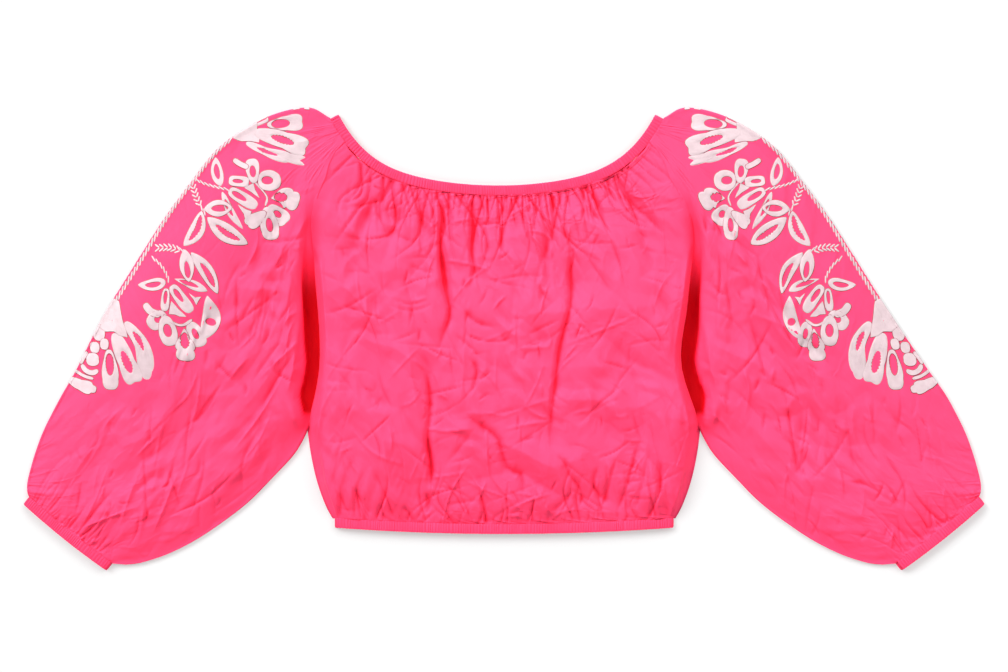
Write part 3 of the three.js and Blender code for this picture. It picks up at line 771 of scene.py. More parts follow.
def make_sleeve(name, side, seed, node):
    """A sleeve's sheet: front from the inner edge to the fold, half a turn round the fold, and the back."""
    front_count, roll_count, back_count = 201, 8, 32
    front_q = np.linspace(0, 1, front_count)
    turn = np.linspace(0, math.pi, roll_count + 2)[1:-1]
    back_q = np.linspace(1, 0, back_count)
    rows = np.linspace(0, 1, 313)[:, None]
    inner, fold = sleeve_plan(np.zeros_like(rows), rows), sleeve_plan(np.ones_like(rows), rows)
    width = np.hypot(fold[0] - inner[0], fold[1] - inner[1])
    flat = 1 - FOLD_RADIUS / width
    q = np.hstack([flat * front_q, flat + FOLD_RADIUS / width * np.sin(turn), flat * back_q])
    x, y, crown, edge, floor = sleeve_plan(q, rows + 0 * q)
    # beside the body the sleeve's edge reaches 4.5 mm in under the roll of the front's edge
    x = x - 4.5 * (1 - step(0, 6, q * width)) * step(0.32, 0.42, rows) * step(1, 0.9, rows)
    z = np.empty_like(x)
    # lay, roll and under: the columns of the front, of the turn round the fold, and of the back
    lay = np.s_[:, :front_count]
    roll = np.s_[:, front_count : front_count + roll_count]
    under = np.s_[:, front_count + roll_count :]
    # the crown rises from the crease's floor by a steep wall, or from a free edge in a round
    wall = floor[lay] + 6
    rise = step(0, 1, (front_q * width - 0.8 * floor[lay]) / (wall - 0.8 * floor[lay]))
    free_edge = 1 - step(0, 4, floor[lay])
    rise += (0.65 * step(0, 8, front_q * width) + 0.35 * step(0, 90, front_q * width) - rise) * free_edge
    # the straight way from edge to fold, 1.6 mm lower in the crease
    ends = edge[lay] + (2 * FOLD_RADIUS - edge[lay]) * front_q
    ends = ends - 1.6 * step(0, 3, floor[lay]) * (1 - step(0, 0.1, front_q))
    depth = 1.5 * folds(x[lay], y[lay], bent(SLEEVE_FOLDS))
    top = ends + (crown[lay] - depth - ends) * rise * domed(front_q, 5)
    # cloth longer than its space, most of all beside the casings that gather it
    run = SLEEVE_LENGTH * rows
    from_ends = np.minimum(run, SLEEVE_LENGTH - run)
    free = step(0, 14, from_ends)
    full = 0.008 + 0.07 * np.exp(-run / 30) + 0.08 * np.exp((run - SLEEVE_LENGTH) / 25)
    # the stitched part is stiffer, so it settles and creases less
    stitched = (1 - step(95, 140, (1 - front_q) * width)) * step(-95, -55, y[lay])
    loose = free * (1 - 0.75 * stitched) * step(0, 30, front_q * width - floor[lay])
    across = 1 + full * free + slack(x[lay], y[lay], 0.04, seed) * loose
    along = 1 + (0.006 + slack(x[lay], y[lay], 0.04, seed + 10)) * loose
    parts = x[lay], y[lay], top, np.minimum(ends, edge[lay]), across, along
    shape = evened(finer(settle(*(part[::2, ::2] for part in parts), seed)))
    x[lay], y[lay], z[lay] = np.moveaxis(shape, -1, 0)
    # the sharp gathers, creases and facets that settling leaves out
    rng = np.random.default_rng(seed + 2)
    px, py = x[lay].copy(), y[lay].copy()
    short = gathers(rng, beside_cuff, (0.04, 0.97), (0.015, 0.05), (12, 120), (2, 5), 0.9)
    short += gathers(rng, beside_neck, (0.05, 0.85), (0.04, 0.12), (9, 60), (1.5, 4))
    thin = creases(rng, 420, ((175, -275), (580, 285)), (12, 120), (0.7, 2.0), (1.0, 3.2), -1.3)
    sharp = folds(px, py, short) * step(0, 5, from_ends) + folds(px, py, thin)
    rough = (0.35 + 0.65 * step(-0.3, 0.4, drift(px, py, 70, seed + 3))) * loose
    # facets drawn out along the sleeve, which lies turned by about 11 degrees
    a, b = 0.98 * px + 0.2 * py, 0.45 * (0.98 * py - 0.2 * px)
    broken = 4 * facets(a, b, 28, seed + 4) * loose
    broken += rough * (2.6 * facets(a, 1.3 * b, 14, seed + 8) + 3.4 * crumple(a, b, 24, seed + 12))
    z[lay] -= (sharp * (1 - 0.8 * stitched) + broken) * (1 - front_q**5) * rise
    z[lay] = np.maximum(z[lay], np.minimum(ends, edge[lay]))
    # the painted shade of hollows is taken before they are eased, away from the fold and the crease
    low = hollows(z[lay]) * (1 - step(0.9, 1, front_q)) * step(0.5, 1, rise)
    z[lay] = eased(z[lay], step(0.3, 0.6, rise) * (1 - step(0.85, 0.95, front_q)))
    # half a turn round the fold, then the back, flat but for a slack ripple
    z[roll] = STITCH_ROOM + (2 * FOLD_RADIUS - STITCH_ROOM) * (0.5 + 0.5 * np.cos(turn))
    ripple = 0.5 * (1 + drift(x, y, 30, seed + 5)) * np.sin(math.pi * rows) ** 0.3
    z[under] = STITCH_ROOM * step(0, 0.3, back_q) + ripple[under] * (np.sin(math.pi * back_q) ** 0.3)
    # painted shade, redder and darker in the hollows, along the crease beside the body, and along the raglan
    # seam
    deep = np.zeros_like(z)
    # painted shade in the crease where the sleeve meets the front's edge
    crease = (1 - step(0.05, 0.4, rise)) * step(0, 9, floor[lay]) * (1 - 0.55 * step(42, 116, y[lay]))
    seam_shade = 0.5 * (1 - step(2, 16, front_q * width)) * step(85, 105, y[lay]) * (1 - step(150, 200, y[lay]))
    deep[lay] = np.maximum(low, np.maximum(crease, seam_shade))
    # the lining lies below the front's cloth and above the back's
    above = z[::LINING_STEP, front_count + LINING_STEP - 1 :: LINING_STEP] + SHEET_THICKNESS
    lining = np.hstack([beneath(z[lay]), above])
    piece = sheet_mesh(name, pull(side * x, y), y, z, lining, deep, flip=side < 0)
    piece.data.materials.append(viscose)
    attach(piece, "root")
    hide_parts(node)
    return piece, x[lay], y[lay], z[lay], fold


left_sleeve = make_sleeve("sleeve_left", 1, 31, "left_sleeve")
right_sleeve = make_sleeve("sleeve_right", -1, 61, "right_sleeve")

# ---- The embroidery -------------------------------------------------------------------------------------
# Raised satin stitch in warm white thread, worked on both halves of each sleeve's top before it was
# gathered: half a flower at the shoulder, two whole flowers with leaves, and half a flower at the elbow,
# beside a rope stitch along the fold. The half that lies underneath mirrors the one that shows.

# how high the middle of a band stands on the cloth, and how deep its edges are sunk into it
THREAD_LIFT, EDGE_SUNK = 0.3, 0.35
# the side of the map of a sleeve's heights: from 0 outwards, and to both sides of 0 along
MAP_SIZE = 620

# Leaves: base, tip, half width, bend to one side as a share of the length, where they are widest, and the
# window: where it starts and ends along the leaf, its width as a share, and how jagged it is.
LEAVES = [
    ((331, 183.5), (338.5, 220), 8.3, -0.05, 0.45, (0.26, 0.76, 0.34), 0),
    ((330, 178), (304.5, 131.5), 5.5, 0.05, 0.45, (0.2, 0.62, 0.36), 0),
    ((352, 156.5), (316.5, 158), 11, 0, 0.5, (0.28, 0.84, 0.33), 0),
    ((348, 147), (300.5, 114), 11.8, 0.04, 0.52, (0.25, 0.83, 0.28), 0.5),
    ((354, 155), (376, 111.5), 10.3, -0.12, 0.5, (0.12, 0.8, 0.34), 0.5),
    ((396, 69.5), (432, 65.5), 8.4, -0.06, 0.38, (0.2, 0.72, 0.32), 0),
    ((368.5, 68), (374.5, 109), 9.6, 0, 0.5, (0.14, 0.62, 0.3), 0),
    ((367, 105), (337, 54), 9.1, -0.08, 0.5, (0.3, 0.85, 0.32), 0.2),
    ((387.5, 73), (347, 57.5), 6.5, -0.03, 0.6, (0.18, 0.72, 0.3), 0),
    ((348.5, 53.5), (357.5, -0.5), 10.8, -0.12, 0.55, (0.5, 0.66, 0.5), 0),
]
# Petals: points from base to tip, half width, how much narrower the base is, how square the ends are, number
# and depth of scallops round the tip, the window or none, and how jagged it is.
PETALS = [
    ([(277.5, 258), (232, 262)], 12.5, 0.55, 2.6, 4, 0.05, (0.14, 0.62, 0.42), 0),
    ([(293.5, 250), (260.5, 241), (226.5, 228.5)], 13.9, 0.45, 3, 4, 0.06, (0.32, 0.74, 0.32), 0.3),
    ([(302.5, 237), (270, 223), (230.5, 214)], 7.7, 0.35, 3, 6, 0.1, (0.2, 0.56, 0.24), 0.4),
    ([(291, 186.5), (295, 218.5)], 10.3, 0.35, 2.4, 2, 0.03, (0.26, 0.68, 0.32), 0),
    ([(287.5, 191.5), (259, 190)], 13.4, 0, 2.3, 3, 0.02, (0.2, 0.64, 0.34), 0),
    ([(273, 169), (257.5, 170.5), (243, 164)], 18.6, 0.9, 2.6, 3, 0.16, (0.15, 0.6, 0.34), 0.4),
    ([(276, 161), (256, 138.5)], 12, 0.35, 2.6, 2, 0.05, (0.32, 0.62, 0.26), 0),
    ([(277.5, 160), (275.5, 119.5)], 13.2, 0.5, 2.6, 3, 0.05, (0.36, 0.76, 0.24), 0),
    ([(278.5, 154), (301.5, 135.5)], 10.1, 0.5, 2.6, 2, 0.08, None, 0),
    ([(322.5, 191), (296.5, 188.5)], 7.2, 0, 3.4, 0, 0, (0.22, 0.68, 0.26), 0),
    ([(322, 180), (287.5, 158.5)], 8.2, 0, 3, 0, 0, (0.14, 0.62, 0.32), 0),
    ([(396.5, 32), (419, 15)], 12.5, 0.2, 2.4, 3, 0.03, (0.3, 0.6, 0.3), 0),
    ([(398.5, 29.5), (394, -8)], 13.4, 0.3, 2.4, 3, 0.03, (0.3, 0.7, 0.34), 0),
    ([(376.5, 14), (378.5, -23)], 16.1, 0.88, 2.8, 3, 0.16, (0.16, 0.66, 0.34), 0.3),
    ([(370, 22), (360, -9)], 12.2, 0.35, 2.5, 3, 0.03, (0.3, 0.68, 0.22), 0),
    ([(390.5, 65.5), (366.5, 32)], 7.9, 0, 3, 0, 0, (0.16, 0.6, 0.3), 0),
    ([(396, 62), (398.5, 33)], 6.2, 0.1, 2.8, 0, 0, (0.14, 0.66, 0.26), 0),
    ([(469.5, -11), (471, -59.5)], 13.1, 0.5, 2.9, 3, 0.06, (0.12, 0.66, 0.38), 0.1),
    ([(461.5, 9), (440, -54)], 13.8, 0.35, 3, 4, 0.05, (0.36, 0.78, 0.38), 0.35),
    ([(447.5, 22), (429, -6.5), (426.5, -47.5)], 11.6, 0.3, 2.6, 5, 0.04, (0.2, 0.55, 0.26), 0.45),
    ([(480.5, 19), (481, -2.5)], 8.6, 0, 2.4, 0, 0, None, 0),
    ([(473.5, 2), (476, -13)], 6.5, 0, 2.4, 0, 0, None, 0),
    ([(487, -2), (487.5, -17)], 7.1, 0, 2.4, 0, 0, None, 0),
    ([(500, -24), (482, -24)], 8.9, 0, 2.4, 0, 0, None, 0),
    ([(524, -47), (508, -54.5), (489.5, -60.5)], 8.9, 0.3, 3, 5, 0.08, None, 0),
]
# Strokes of even width with round ends: points and half width.
STROKES = [
    ([(317.5, 217), (308.5, 211), (297.5, 206)], 4.2),
    ([(291.5, 190), (282, 179.5), (276.5, 170), (279.5, 159)], 1.9),
    ([(423, 44), (415.5, 34), (402.5, 29)], 5.5),
    ([(400, 30.5), (392, 22), (379.5, 17), (366, 24.5)], 2.4),
    ([(496.5, -14), (502, -21.5), (507, -30)], 3.1),
    ([(506, -29), (500.5, -37), (492.5, -40), (484, -36.5)], 4.1),
    ([(516, -36), (502.5, -44), (490.5, -47.5)], 2.8),
    ([(246, 277), (241, 278), (236.5, 278.5)], 1.8),
    ([(232.5, 278.5), (229, 278), (225, 277.5)], 1.9),
    ([(293.5, 262), (285, 267), (276, 271)], 4.4),
]
# Filled patches, by their corners.
PATCHES = [
    [(318, 241.5), (322, 252), (300, 268), (287.5, 262), (287.5, 250), (284.5, 243),
     (285, 236), (296.5, 237.5), (308.5, 237.5)],
    [(304, 182.5), (292, 188.5), (289, 180.5), (284, 168.5), (294, 175)],
    [(311.5, 163), (302.5, 158), (293.5, 154), (296.5, 144.5), (300.5, 139), (304.5, 150.5)],
    [(464, 52), (454, 47), (450, 28), (444.5, 1.5), (454.5, 3.5), (461.5, 8.5),
     (473, 8.5), (486, 18.5), (482, 36)],
    [(390.5, 47), (385, 41.5), (379.5, 35.5), (372, 26.5), (381, 26.5), (387, 29), (394.5, 30)],
    [(370, 56.5), (362.5, 51.5), (354, 51.5), (357.5, 46), (361, 40), (365, 47.5)],
]
# Twisted stems, by their points.
STEMS = [
    [(362.5, 192.5), (350.5, 187), (340.5, 184), (321.5, 179.5)],
    [(415, 99), (404.5, 90.5), (397, 80), (392.5, 69)],
    [(370.5, 104), (375.5, 106), (380.5, 108.5)],
    [(349, 150), (352.5, 155.5), (356.5, 161)],
]
# Feathered leaves, by their points, and the reach of their barbs.
FEATHERS = [
    ([(355, 159), (360, 168.5), (365.5, 184)], 4.8),
    ([(378, 106), (392.5, 110), (408.5, 110)], 5.3),
]
# The rope stitch: where along the sleeve it starts and ends, its stitches' spacing, half length and width.
ROPE_FROM, ROPE_TO, ROPE_PITCH, ROPE_HALF, ROPE_WIDE = 44.0, 244.0, 6.8, 6.0, 1.5


def outline(path, half, profile, count, rng, teeth=0.0, lobes=0, scallop=0.0):
    """A closed outline round a path. At turn t from -pi to pi it is beside the path's share (1 + cos t) / 2,
    half times profile(share) away, left for positive t and right for negative. Teeth are a triangle wave
    along it, uneven in depth, and scallops are |sin| bumps, pushed out from the middle round the tip."""
    turn = np.linspace(-math.pi, math.pi, count, endpoint=False)
    share = (1 + np.cos(turn)) / 2
    at = through(path, share)
    ahead = through(path, np.minimum(share + 0.01, 1)) - through(path, np.maximum(share - 0.01, 0))
    side = left_of(ahead) / np.hypot(*ahead.T)[:, None]
    phase = share * max(3, np.hypot(*(np.array(path[-1]) - path[0])) / 3.4) + rng.uniform()
    deep = rng.uniform(0.3, 1, 64)[(np.floor(phase) + 20 * (turn > 0)).astype(int) % 64]
    wide = half * profile(share) * (1 - teeth * deep * (1 - np.abs(2 * (phase % 1) - 1)))
    points = at + side * (np.sign(turn) * wide)[:, None]
    if scallop:
        middle = through(path, np.array(0.55))
        bumps = np.abs(np.sin(turn * lobes * 0.55 + (math.pi / 2 if lobes % 2 else 0)))
        push = 1.7 * scallop * (bumps - 0.5) * step(0.25, 0.7, share)
        points = middle + (points - middle) * (1 + 1.6 * push[:, None])
    return points


def between(path, start, end):
    """The stretch of a path between two shares, as five points."""
    return through(path, np.linspace(start, end, 5))


def spine(path, count, rng):
    """The inner outline of a filled shape: a line along its middle."""
    return outline(between(path, 0.12, 0.88), 0.02, lambda s: s * 0 + 1, count, rng)


def blunt(power):
    """The profile of an even band with round ends, domed from one to the other."""
    return lambda s: domed(2 * s - 1, power)


def pointed(widest):
    """The profile of a leaf: sin(pi s^p)^0.68, with p such that it is widest at that share."""
    power = math.log(0.5) / math.log(widest)
    return lambda s: np.sin(math.pi * s**power) ** 0.68


def rounded(power, narrow):
    """The profile of a petal: (1 - |2 s - 1|^p)^(1 / p), narrower by a share towards its base."""
    return lambda s: (1 - np.abs(2 * s - 1) ** power) ** (1 / power) * (1 - narrow * (1 - s) ** 1.2)


def stitches_along(path, spacing):
    """Places a spacing apart along a path, each with its direction and the direction to its left."""
    steps = max(2, int(run_of(path)[-1] / spacing))
    for k in range(steps):
        low, at, high = through(path, (k + np.array([0.1, 0.5, 0.9])) / steps)
        ahead = (high - low) / np.hypot(*(high - low))
        yield at, ahead, left_of(ahead)


def motifs(seed, pitch):
    """Every stitched shape of the flowers, in the sleeve's plan: outer outline, inner outline, and whether it
    has a window."""
    rng = np.random.default_rng(seed)
    shapes = []

    def add(path, half, profile, window, jag, **edge):
        """A shape round a path, its points about a pitch apart, with its window if it has one."""
        count = 2 * int((run_of(path)[-1] + 2 * half) / pitch) + 8
        outer = outline(path, half, profile, count, rng, **edge)
        if window:
            start, end, wide = window
            pane = between(path, start + 0.02, end - 0.02)
            inner = outline(pane, 0.86 * half * wide, blunt(2.2), count, rng, teeth=1.3 * jag)
        else:
            inner = spine(path, count, rng)
        shapes.append((outer, inner, bool(window)))

    def dash(at, way, half, wide):
        """One short stitch, half its length to each side of its middle."""
        add([at - way * half, at, at + way * half], wide, blunt(4), None, 0)

    for base, tip, half, bend, widest, window, jag in LEAVES:
        base, tip = np.array(base), np.array(tip)
        middle = (base + tip) / 2 + left_of(tip - base) * bend
        add([base, middle, tip], half, pointed(widest), window, jag)
    for path, half, narrow, power, lobes, scallop, window, jag in PETALS:
        if len(path) == 2:
            path = [path[0], np.mean(path, axis=0), path[1]]
        add(path, half, rounded(power, narrow), window, jag, lobes=lobes, scallop=scallop)
    for path, half in STROKES:
        add(path, half, blunt(6), None, 0)
    for path in STEMS:
        for at, ahead, across in stitches_along(path, 5.6):
            dash(at, ahead + 0.36 * across, 4.6, 1.3)
    for path, reach in FEATHERS:
        for at, ahead, across in stitches_along(path, 4.8):
            for way in (1, -1):
                middle = at + 0.45 * reach * (way * across + ahead)
                dash(middle, 0.8 * ahead + 0.6 * way * across, 0.75 * reach, 1.45)
    for corners in PATCHES:
        loop = np.array(corners + corners[:3])
        count = int(run_of(corners)[-1] * 1.15 / pitch)
        run = run_of(loop)
        run /= run[-1]
        span = np.linspace(run[1], run[-2], count, endpoint=False)
        straight = np.column_stack([np.interp(span, run, loop[:, k]) for k in (0, 1)])
        outer = 0.15 * through(loop, span) + 0.85 * straight
        middle = np.mean(corners, axis=0)
        shapes.append((outer, middle + 0.02 * (outer - middle), False))
    return shapes


def rope(fold, pitch):
    """The slanted stitches of the rope along the fold, as shapes like those of motifs. Towards the neck the
    fold has rolled over it, so that it shows only half as wide."""
    rng = np.random.default_rng(3)
    inside = np.array([-1.0, 0])
    run = run_of(fold)
    start, end = sorted(np.interp(y, fold[:, 1], run) for y in (ROPE_FROM, ROPE_TO))
    shapes = []
    for at in np.arange(start, end, ROPE_PITCH):
        point = np.array([np.interp(at, run, fold[:, k]) for k in (0, 1)])
        ahead = np.array([np.interp(at + 2, run, fold[:, k]) for k in (0, 1)]) - point
        ahead /= np.hypot(*ahead)
        inwards = left_of(ahead)
        inwards *= np.sign(inwards @ inside)
        middle = point + inwards * (1.8 + 2.2 * (1 - step(85, 175, point[1])))
        slant = ROPE_HALF * (0.87 * ahead - 0.49 * inwards)
        bow = 0.5 * (ahead + inwards)
        path = np.array([middle - slant - bow, middle, middle + slant + bow])
        count = 2 * int(16 / pitch) + 6
        outer = outline(path, ROPE_WIDE, blunt(4), count, rng)
        shapes.append((outer, spine(path, count, rng), False))
    return shapes


def height_map(x, y, z):
    """Heights of a sheet on a 1 mm lattice: the highest of its points near each node, or where a node has
    none, the highest of the nodes around it."""
    for _ in range(2):
        x, y, z = finer(x), finer(y), finer(z)
    heights = np.full((MAP_SIZE, MAP_SIZE), -1.0)
    nodes = np.rint(x).astype(int).ravel(), np.rint(y).astype(int).ravel() + MAP_SIZE // 2
    np.maximum.at(heights, nodes, z.ravel())
    for _ in range(4):
        near = [np.roll(heights, move, axis) for axis in (0, 1) for move in (-1, 1)]
        heights = np.where(heights < 0, np.max(near, axis=0), heights)
    return heights


def lay_on_sleeve(points, lift, heights, fold, mirrored):
    """Stitched points on the sleeve: those inside the fold stand on the cloth, those within its radius go
    round the roll, and those past it go on underneath; mirrored points swap the two sides of the fold."""
    flat = points.reshape(-1, 2)
    a, along = fold[:-1], np.diff(fold, axis=0)
    gaps = np.empty(len(flat))
    feet = np.empty_like(flat)
    ways = np.empty_like(flat)
    for part in np.array_split(np.arange(len(flat)), max(1, len(flat) // 4000)):
        p = flat[part][:, None]
        t = np.clip(((p - a) * along).sum(-1) / (along**2).sum(-1), 0, 1)
        foot = a + t[..., None] * along
        gap = np.hypot(*np.moveaxis(p - foot, -1, 0))
        k = gap.argmin(1)
        pick = np.arange(len(part))
        feet[part] = foot[pick, k]
        way = left_of(along[k]) / np.hypot(*along[k].T)[:, None]
        gaps[part] = ((flat[part] - feet[part]) * way).sum(1)
        ways[part] = way
    if mirrored:
        gaps = -gaps
        flat = feet + ways * gaps[:, None]
    lift = lift.ravel()
    radius = FOLD_RADIUS
    angle = np.clip((radius - gaps) / radius, 0, math.pi)
    past = np.maximum((radius - gaps) - math.pi * radius, 0)
    inset = np.where(past > 0, radius + past, radius - (radius + lift) * np.sin(angle))
    centre = (2 * radius + STITCH_ROOM) / 2
    level = centre + (radius - STITCH_ROOM / 2 + lift) * np.cos(angle)
    i, j = np.clip(flat + [0, MAP_SIZE // 2], 0, MAP_SIZE - 2).T
    i0, j0 = np.floor(i).astype(int), np.floor(j).astype(int)
    ground = blended(heights, i0, j0, i - i0, j - j0)
    on_top = (gaps >= radius)[:, None]
    plan = np.where(on_top, flat, feet + ways * inset[:, None])
    level = np.where(on_top[:, 0], ground + lift, level)
    return np.column_stack([plan, level]).reshape(*points.shape[:-1], 3)


# The rings of points that a shape is made of, on top and mirrored underneath: their points' spacing, where
# they lie in a shape with a window and in a filled one, and how many more a wide patch has.
RINGS = [
    (False, 1.1, (0, 0.1, 0.32, 0.68, 0.9, 1), (0, 0.12, 0.35, 0.7, 1), 11),
    (True, 2.4, (0, 0.25, 0.75, 1), (0, 0.3, 1), 5),
]


def embroider(name, side, sleeve, seed, node):
    """All the stitching of one sleeve as one piece. Each shape is a strip of rings from its outer outline to
    its inner one, open underneath. Its edges are sunk into the cloth, and it rises in a quarter of a sine."""
    piece, x, y, z, fold = sleeve
    fold = np.column_stack([fold[0][:, 0], fold[1][:, 0]])
    heights = height_map(x, y, z)
    points, faces, maps, count = [], [], [], 0
    for mirrored, pitch, framed, filled, more in RINGS:
        for order, (outer, inner, window) in enumerate(motifs(seed, pitch) + rope(fold, pitch)):
            reach = np.hypot(*(inner - outer).T)[:, None]
            across = np.array(framed if window else filled)
            # wide patches have more rings, to follow the cloth's folds
            if not window and reach.max() > 7:
                across = np.r_[0, 0.06, 0.14, np.linspace(0.22, 1, more)]
            plan = outer[:, None] + (inner - outer)[:, None] * across[None, :, None]
            in_from_edge = reach * (np.minimum(across, 1 - across) if window else across)
            dome = np.sin(math.pi / 2 * np.clip(in_from_edge / 0.7, 0, 1))
            lift = -EDGE_SUNK + (THREAD_LIFT + EDGE_SUNK) * dome
            # neighbours lie at four heights in turn, so that those that cross don't coincide
            lift = lift * (0.7 if mirrored else 1) + 0.07 * (order % 4)
            laid = lay_on_sleeve(plan, lift, heights, fold, mirrored)
            n, m = plan.shape[:2]
            at = count + np.arange(n * m).reshape(n, m)
            ahead = np.roll(at, -1, axis=0)
            quads = np.stack([at[:, :-1], ahead[:, :-1], ahead[:, 1:], at[:, 1:]], -1).reshape(-1, 4)
            area = np.cross(outer, np.roll(outer, -1, axis=0)).sum()
            if (area < 0) != mirrored:
                quads = quads[:, ::-1]
            # the map's second number is how far in from the edge; narrow shapes get the painted rim shade
            # only at their edges
            bare = in_from_edge * max(1, 4 / in_from_edge.max())
            maps.append(np.stack([run_of(outer)[:, None] + 0 * across, bare], -1).reshape(-1, 2))
            points.append(laid.reshape(-1, 3))
            faces.append(quads)
            count += n * m
    points, faces, maps = np.vstack(points), np.vstack(faces), np.vstack(maps) * MM
    if side < 0:
        faces = faces[:, ::-1]
    plan_x = pull(side * points[:, 0], points[:, 1])
    laid = np.column_stack([plan_x, points[:, 1], points[:, 2]]) * MM
    stitching = add_piece(name, laid, faces.tolist(), maps)
    weld = stitching.modifiers.new("weld", "WELD")
    weld.merge_threshold = 0.00005
    stitching.data.materials.append(thread)
    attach(stitching, "root")
    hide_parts(node)


def thread_material():
    """Satin stitch: bright rayon threads side by side across each band, slightly uneven in tone."""
    look = {"Roughness": 0.62, "Sheen Weight": 0.2, "Specular IOR Level": 0.35}
    material, tree, shader = add_material("satin_thread", look)
    place = add_node(tree, "TexCoord", {}).outputs["Object"]
    noise = add_node(tree, "TexNoise", {"Scale": 90, "Detail": 3, "Vector": place})
    tone = add_ramp(tree, noise.outputs["Fac"], [(0.3, (0.53, 0.43, 0.45)), (0.6, (0.58, 0.48, 0.5))])
    uv = add_node(tree, "UVMap", {}, uv_map="cut").outputs["UV"]
    # painted shade at the rims, where the stitches dive into the cloth, with pink showing through there
    inward = add_node(tree, "SeparateXYZ", {"Vector": uv}).outputs["Y"]
    rim = add_node(tree, "MapRange", {"From Min": 0.0007, "From Max": 0.0015, "Value": inward})
    parts = {"Factor": rim.outputs["Result"], 6: (0.3, 0.08, 0.11, 1), 7: tone}
    feed(tree, shader, {"Base Color": add_node(tree, "Mix", parts, data_type="RGBA").outputs[2]})
    stretch = add_node(tree, "Mapping", {"Scale": (1900, 60, 1), "Vector": uv}).outputs["Vector"]
    strands = add_node(tree, "TexNoise", {"Scale": 1, "Detail": 2, "Vector": stretch}).outputs["Fac"]
    bump = add_node(tree, "Bump", {"Strength": 0.7, "Distance": 0.0004, "Height": strands})
    feed(tree, shader, {"Normal": bump.outputs["Normal"]})
    return material


thread = thread_material()
embroider("stitching_left", 1, left_sleeve, 41, "left_sleeve")
embroider("stitching_right", -1, right_sleeve, 43, "right_sleeve")

# ---- The casings ----------------------------------------------------------------------------------------
# Narrow tubes of the same cloth, folded over flat elastic and stitched down. The elastic has drawn them up,
# so they are finely and unevenly ribbed all round, and they lie flattened, front over back.


def make_casing(name, node, line, length, lift, seed, flat, area):
    """A closed ring lying flat: front and back strips with a half turn at each end. Its section is a flat
    oval with square shoulders, and its ribs are a raised cosine whose phase runs unevenly along it."""
    rng = np.random.default_rng(seed)
    end = FOLD_RADIUS / length
    steps = int(length / 0.45)
    front_s = np.linspace(end, 1 - end, steps)
    dome = domed(2 * front_s - 1, 8)
    low = 2 * FOLD_RADIUS - 2
    turn = np.linspace(0, math.pi, 10)[1:-1]
    bulge = 1.6 / length * np.sin(turn)
    s = np.r_[front_s, 1 - end + bulge, front_s[::-1], end - bulge]
    front_z, falling, rising = 1 + low + (lift - low) * dome, 1 + np.cos(turn), 1 - np.cos(turn)
    z = np.r_[front_z, 1 + low / 2 * falling, 0 * front_s + 1, 1 + low / 2 * rising]
    x, y = line(s, 0)
    run = np.hypot(np.gradient(x), np.gradient(y)) + np.abs(np.gradient(z))
    run = run.cumsum()
    # one rib to about 3.2 mm
    ribs = np.cumsum(rng.uniform(1.2, 2.5, int(run[-1] / 6) + 3))
    phase = np.interp(run, np.arange(0, run[-1] + 12, 6), ribs)
    rib = 0.5 - 0.5 * np.cos(2 * math.pi * phase)
    rib = rib**0.6 * (0.65 + 0.35 * drift(run, run * 0, 7, seed))
    angle = np.linspace(0, 2 * math.pi, 18, endpoint=False)
    across = 0.5 - 0.5 * np.sign(np.cos(angle)) * np.abs(np.cos(angle)) ** 0.55
    lift_across = np.sign(np.sin(angle)) * np.abs(np.sin(angle)) ** 0.7
    ahead = np.stack([np.gradient(x), np.gradient(y), np.gradient(z)], -1)
    ahead[[0, -1]] = ahead[[1, -2]]
    far = np.stack(line(s, CASING_WIDTH), -1)
    wide = np.column_stack([far - np.stack([x, y], -1), 0 * x])
    out = np.cross(wide, ahead)
    out /= np.linalg.norm(out, axis=1, keepdims=True)
    # between ribs the tube is thinner and its edges are drawn in, with a groove along both rows of stitches
    half = 0.4 + 0.9 * rib
    edge_pull = 0.45 * (1 - rib)
    share = edge_pull[:, None] / CASING_WIDTH + across[None] * (1 - 2 * edge_pull[:, None] / CASING_WIDTH)
    groove = 0.28 * np.exp(-(((share - 0.1) / 0.035) ** 2)) + 0.28 * np.exp(-(((share - 0.9) / 0.035) ** 2))
    thick = half[:, None] * lift_across * (1 - groove)
    centre = np.column_stack([x, y, z])
    points = centre[:, None] + wide[:, None] * share[..., None] + out[:, None] * thick[..., None]
    px, py, pz = np.moveaxis(points.reshape(-1, 3), -1, 0)
    at = np.arange(px.size).reshape(points.shape[:2])
    ahead, beside = np.roll(at, -1, 0), np.roll(at, -1, 1)
    quads = np.stack([at, ahead, np.roll(ahead, -1, 1), beside], -1).reshape(-1, 4)
    uv = np.stack([run[:, None] + 0 * share, CASING_WIDTH * share + 14 * (lift_across < 0)], -1)
    # painted shade between the ribs: the colour there is redder and darker
    deep = 0.3 * (1 - rib[:, None]) + 0 * share
    laid = np.column_stack([pull(px, py), py, np.maximum(pz, 0.02)]) * MM
    piece = add_piece(name, laid, quads.tolist(), uv.reshape(-1, 2) * MM, deep)
    piece.data.materials.append(viscose)
    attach(piece, "root")
    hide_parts(node)


def whole_neck(share, offset):
    """The neck from end to end, for shares from 0 to 1."""
    return neck_line(2 * share - 1, offset)


def whole_hem(share, offset):
    """The hem from end to end, for shares from 0 to 1."""
    return hem_line(2 * share - 1, offset)


def right_cuff(share, offset):
    """The left cuff's edge mirrored, and run the other way, so that its casing turns the same way round."""
    x, y = cuff_line(1 - share, offset)
    return -x, y


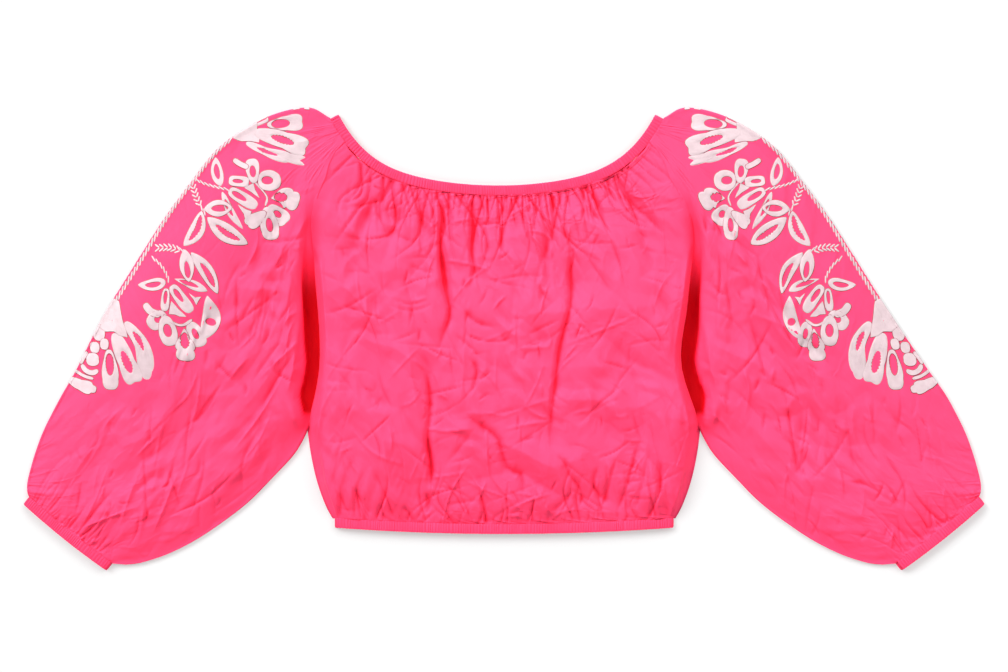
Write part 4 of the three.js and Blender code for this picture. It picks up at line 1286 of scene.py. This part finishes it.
# Name, node, edge, length, how high its front lies, seed, flat size and area.
CASINGS = [
    ("casing_neck", "neck_casing", whole_neck, 480, 7.5, 71, (0.97, 0.03), 0.0125),
    ("casing_hem", "hem_casing", whole_hem, 408, 7.5, 72, (0.82, 0.03), 0.0107),
    ("casing_cuff_left", "left_cuff_casing", cuff_line, 129, 7, 73, (0.26, 0.03), 0.0034),
    ("casing_cuff_right", "right_cuff_casing", right_cuff, 129, 7, 74, (0.26, 0.03), 0.0034),
]
for row in CASINGS:
    make_casing(*row)

# ---- The surface, the light and the camera ---------------------------------------------------------------
# A white acrylic table top, lit from below, in a white room with four large soft lamps: the main one high
# beyond the neck towards -X, a weaker one towards +X, a low one between them, and a faint one past the hem.

mesh = bpy.data.meshes.new("floor")
corners = [(x, y, -0.0004) for x, y in ((-4, -4), (4, -4), (4, 4), (-4, 4))]
mesh.from_pydata(corners, [], [(0, 1, 2, 3)])
floor = add_object("floor", mesh)
look = {"Base Color": (0.31, 0.31, 0.31, 1), "Roughness": 0.9}
look |= {"Emission Color": (1, 1, 1, 1), "Emission Strength": 0.51}
floor.data.materials.append(add_material("table_top", look)[0])

world = bpy.data.worlds.new("room")
bpy.context.scene.world = world
world.use_nodes = True
feed(world.node_tree, world.node_tree.nodes["Background"], {"Color": (1, 1, 1, 1), "Strength": 0.36})


def lamp(name, way, spread, power):
    """A soft far lamp that shines along a way, as wide as spread degrees seen from the blouse."""
    light = bpy.data.lights.new(name, "SUN")
    light.angle = math.radians(spread)
    light.energy = power
    add_object(name, light).rotation_euler = Vector(way).to_track_quat("-Z", "Y").to_euler()


lamp("left", (1.15, -0.8, -1.0), 30, 3.0)
lamp("right", (-1.1, -0.7, -1.0), 36, 1.4)
lamp("near", (0.1, 0.9, -1.0), 60, 0.75)
lamp("beyond", (0.0, -1.0, -0.5), 50, 1.8)

camera = bpy.data.cameras.new("camera")
camera.sensor_width = 36
distance = 4.0
# the view is 1.2096 m wide at 15 mm above the surface
camera.lens = camera.sensor_width * (distance - 0.015) / 1.2096
camera.clip_end = 20
viewer = add_object("camera", camera)
viewer.location = (0, 0.0042, distance)
bpy.context.scene.camera = viewer
view = bpy.context.scene.view_settings
view.view_transform = "Standard"
view.use_curve_mapping = True
view.curve_mapping.black_level = (0.009, 0.009, 0.009)
view.gamma = 0.75
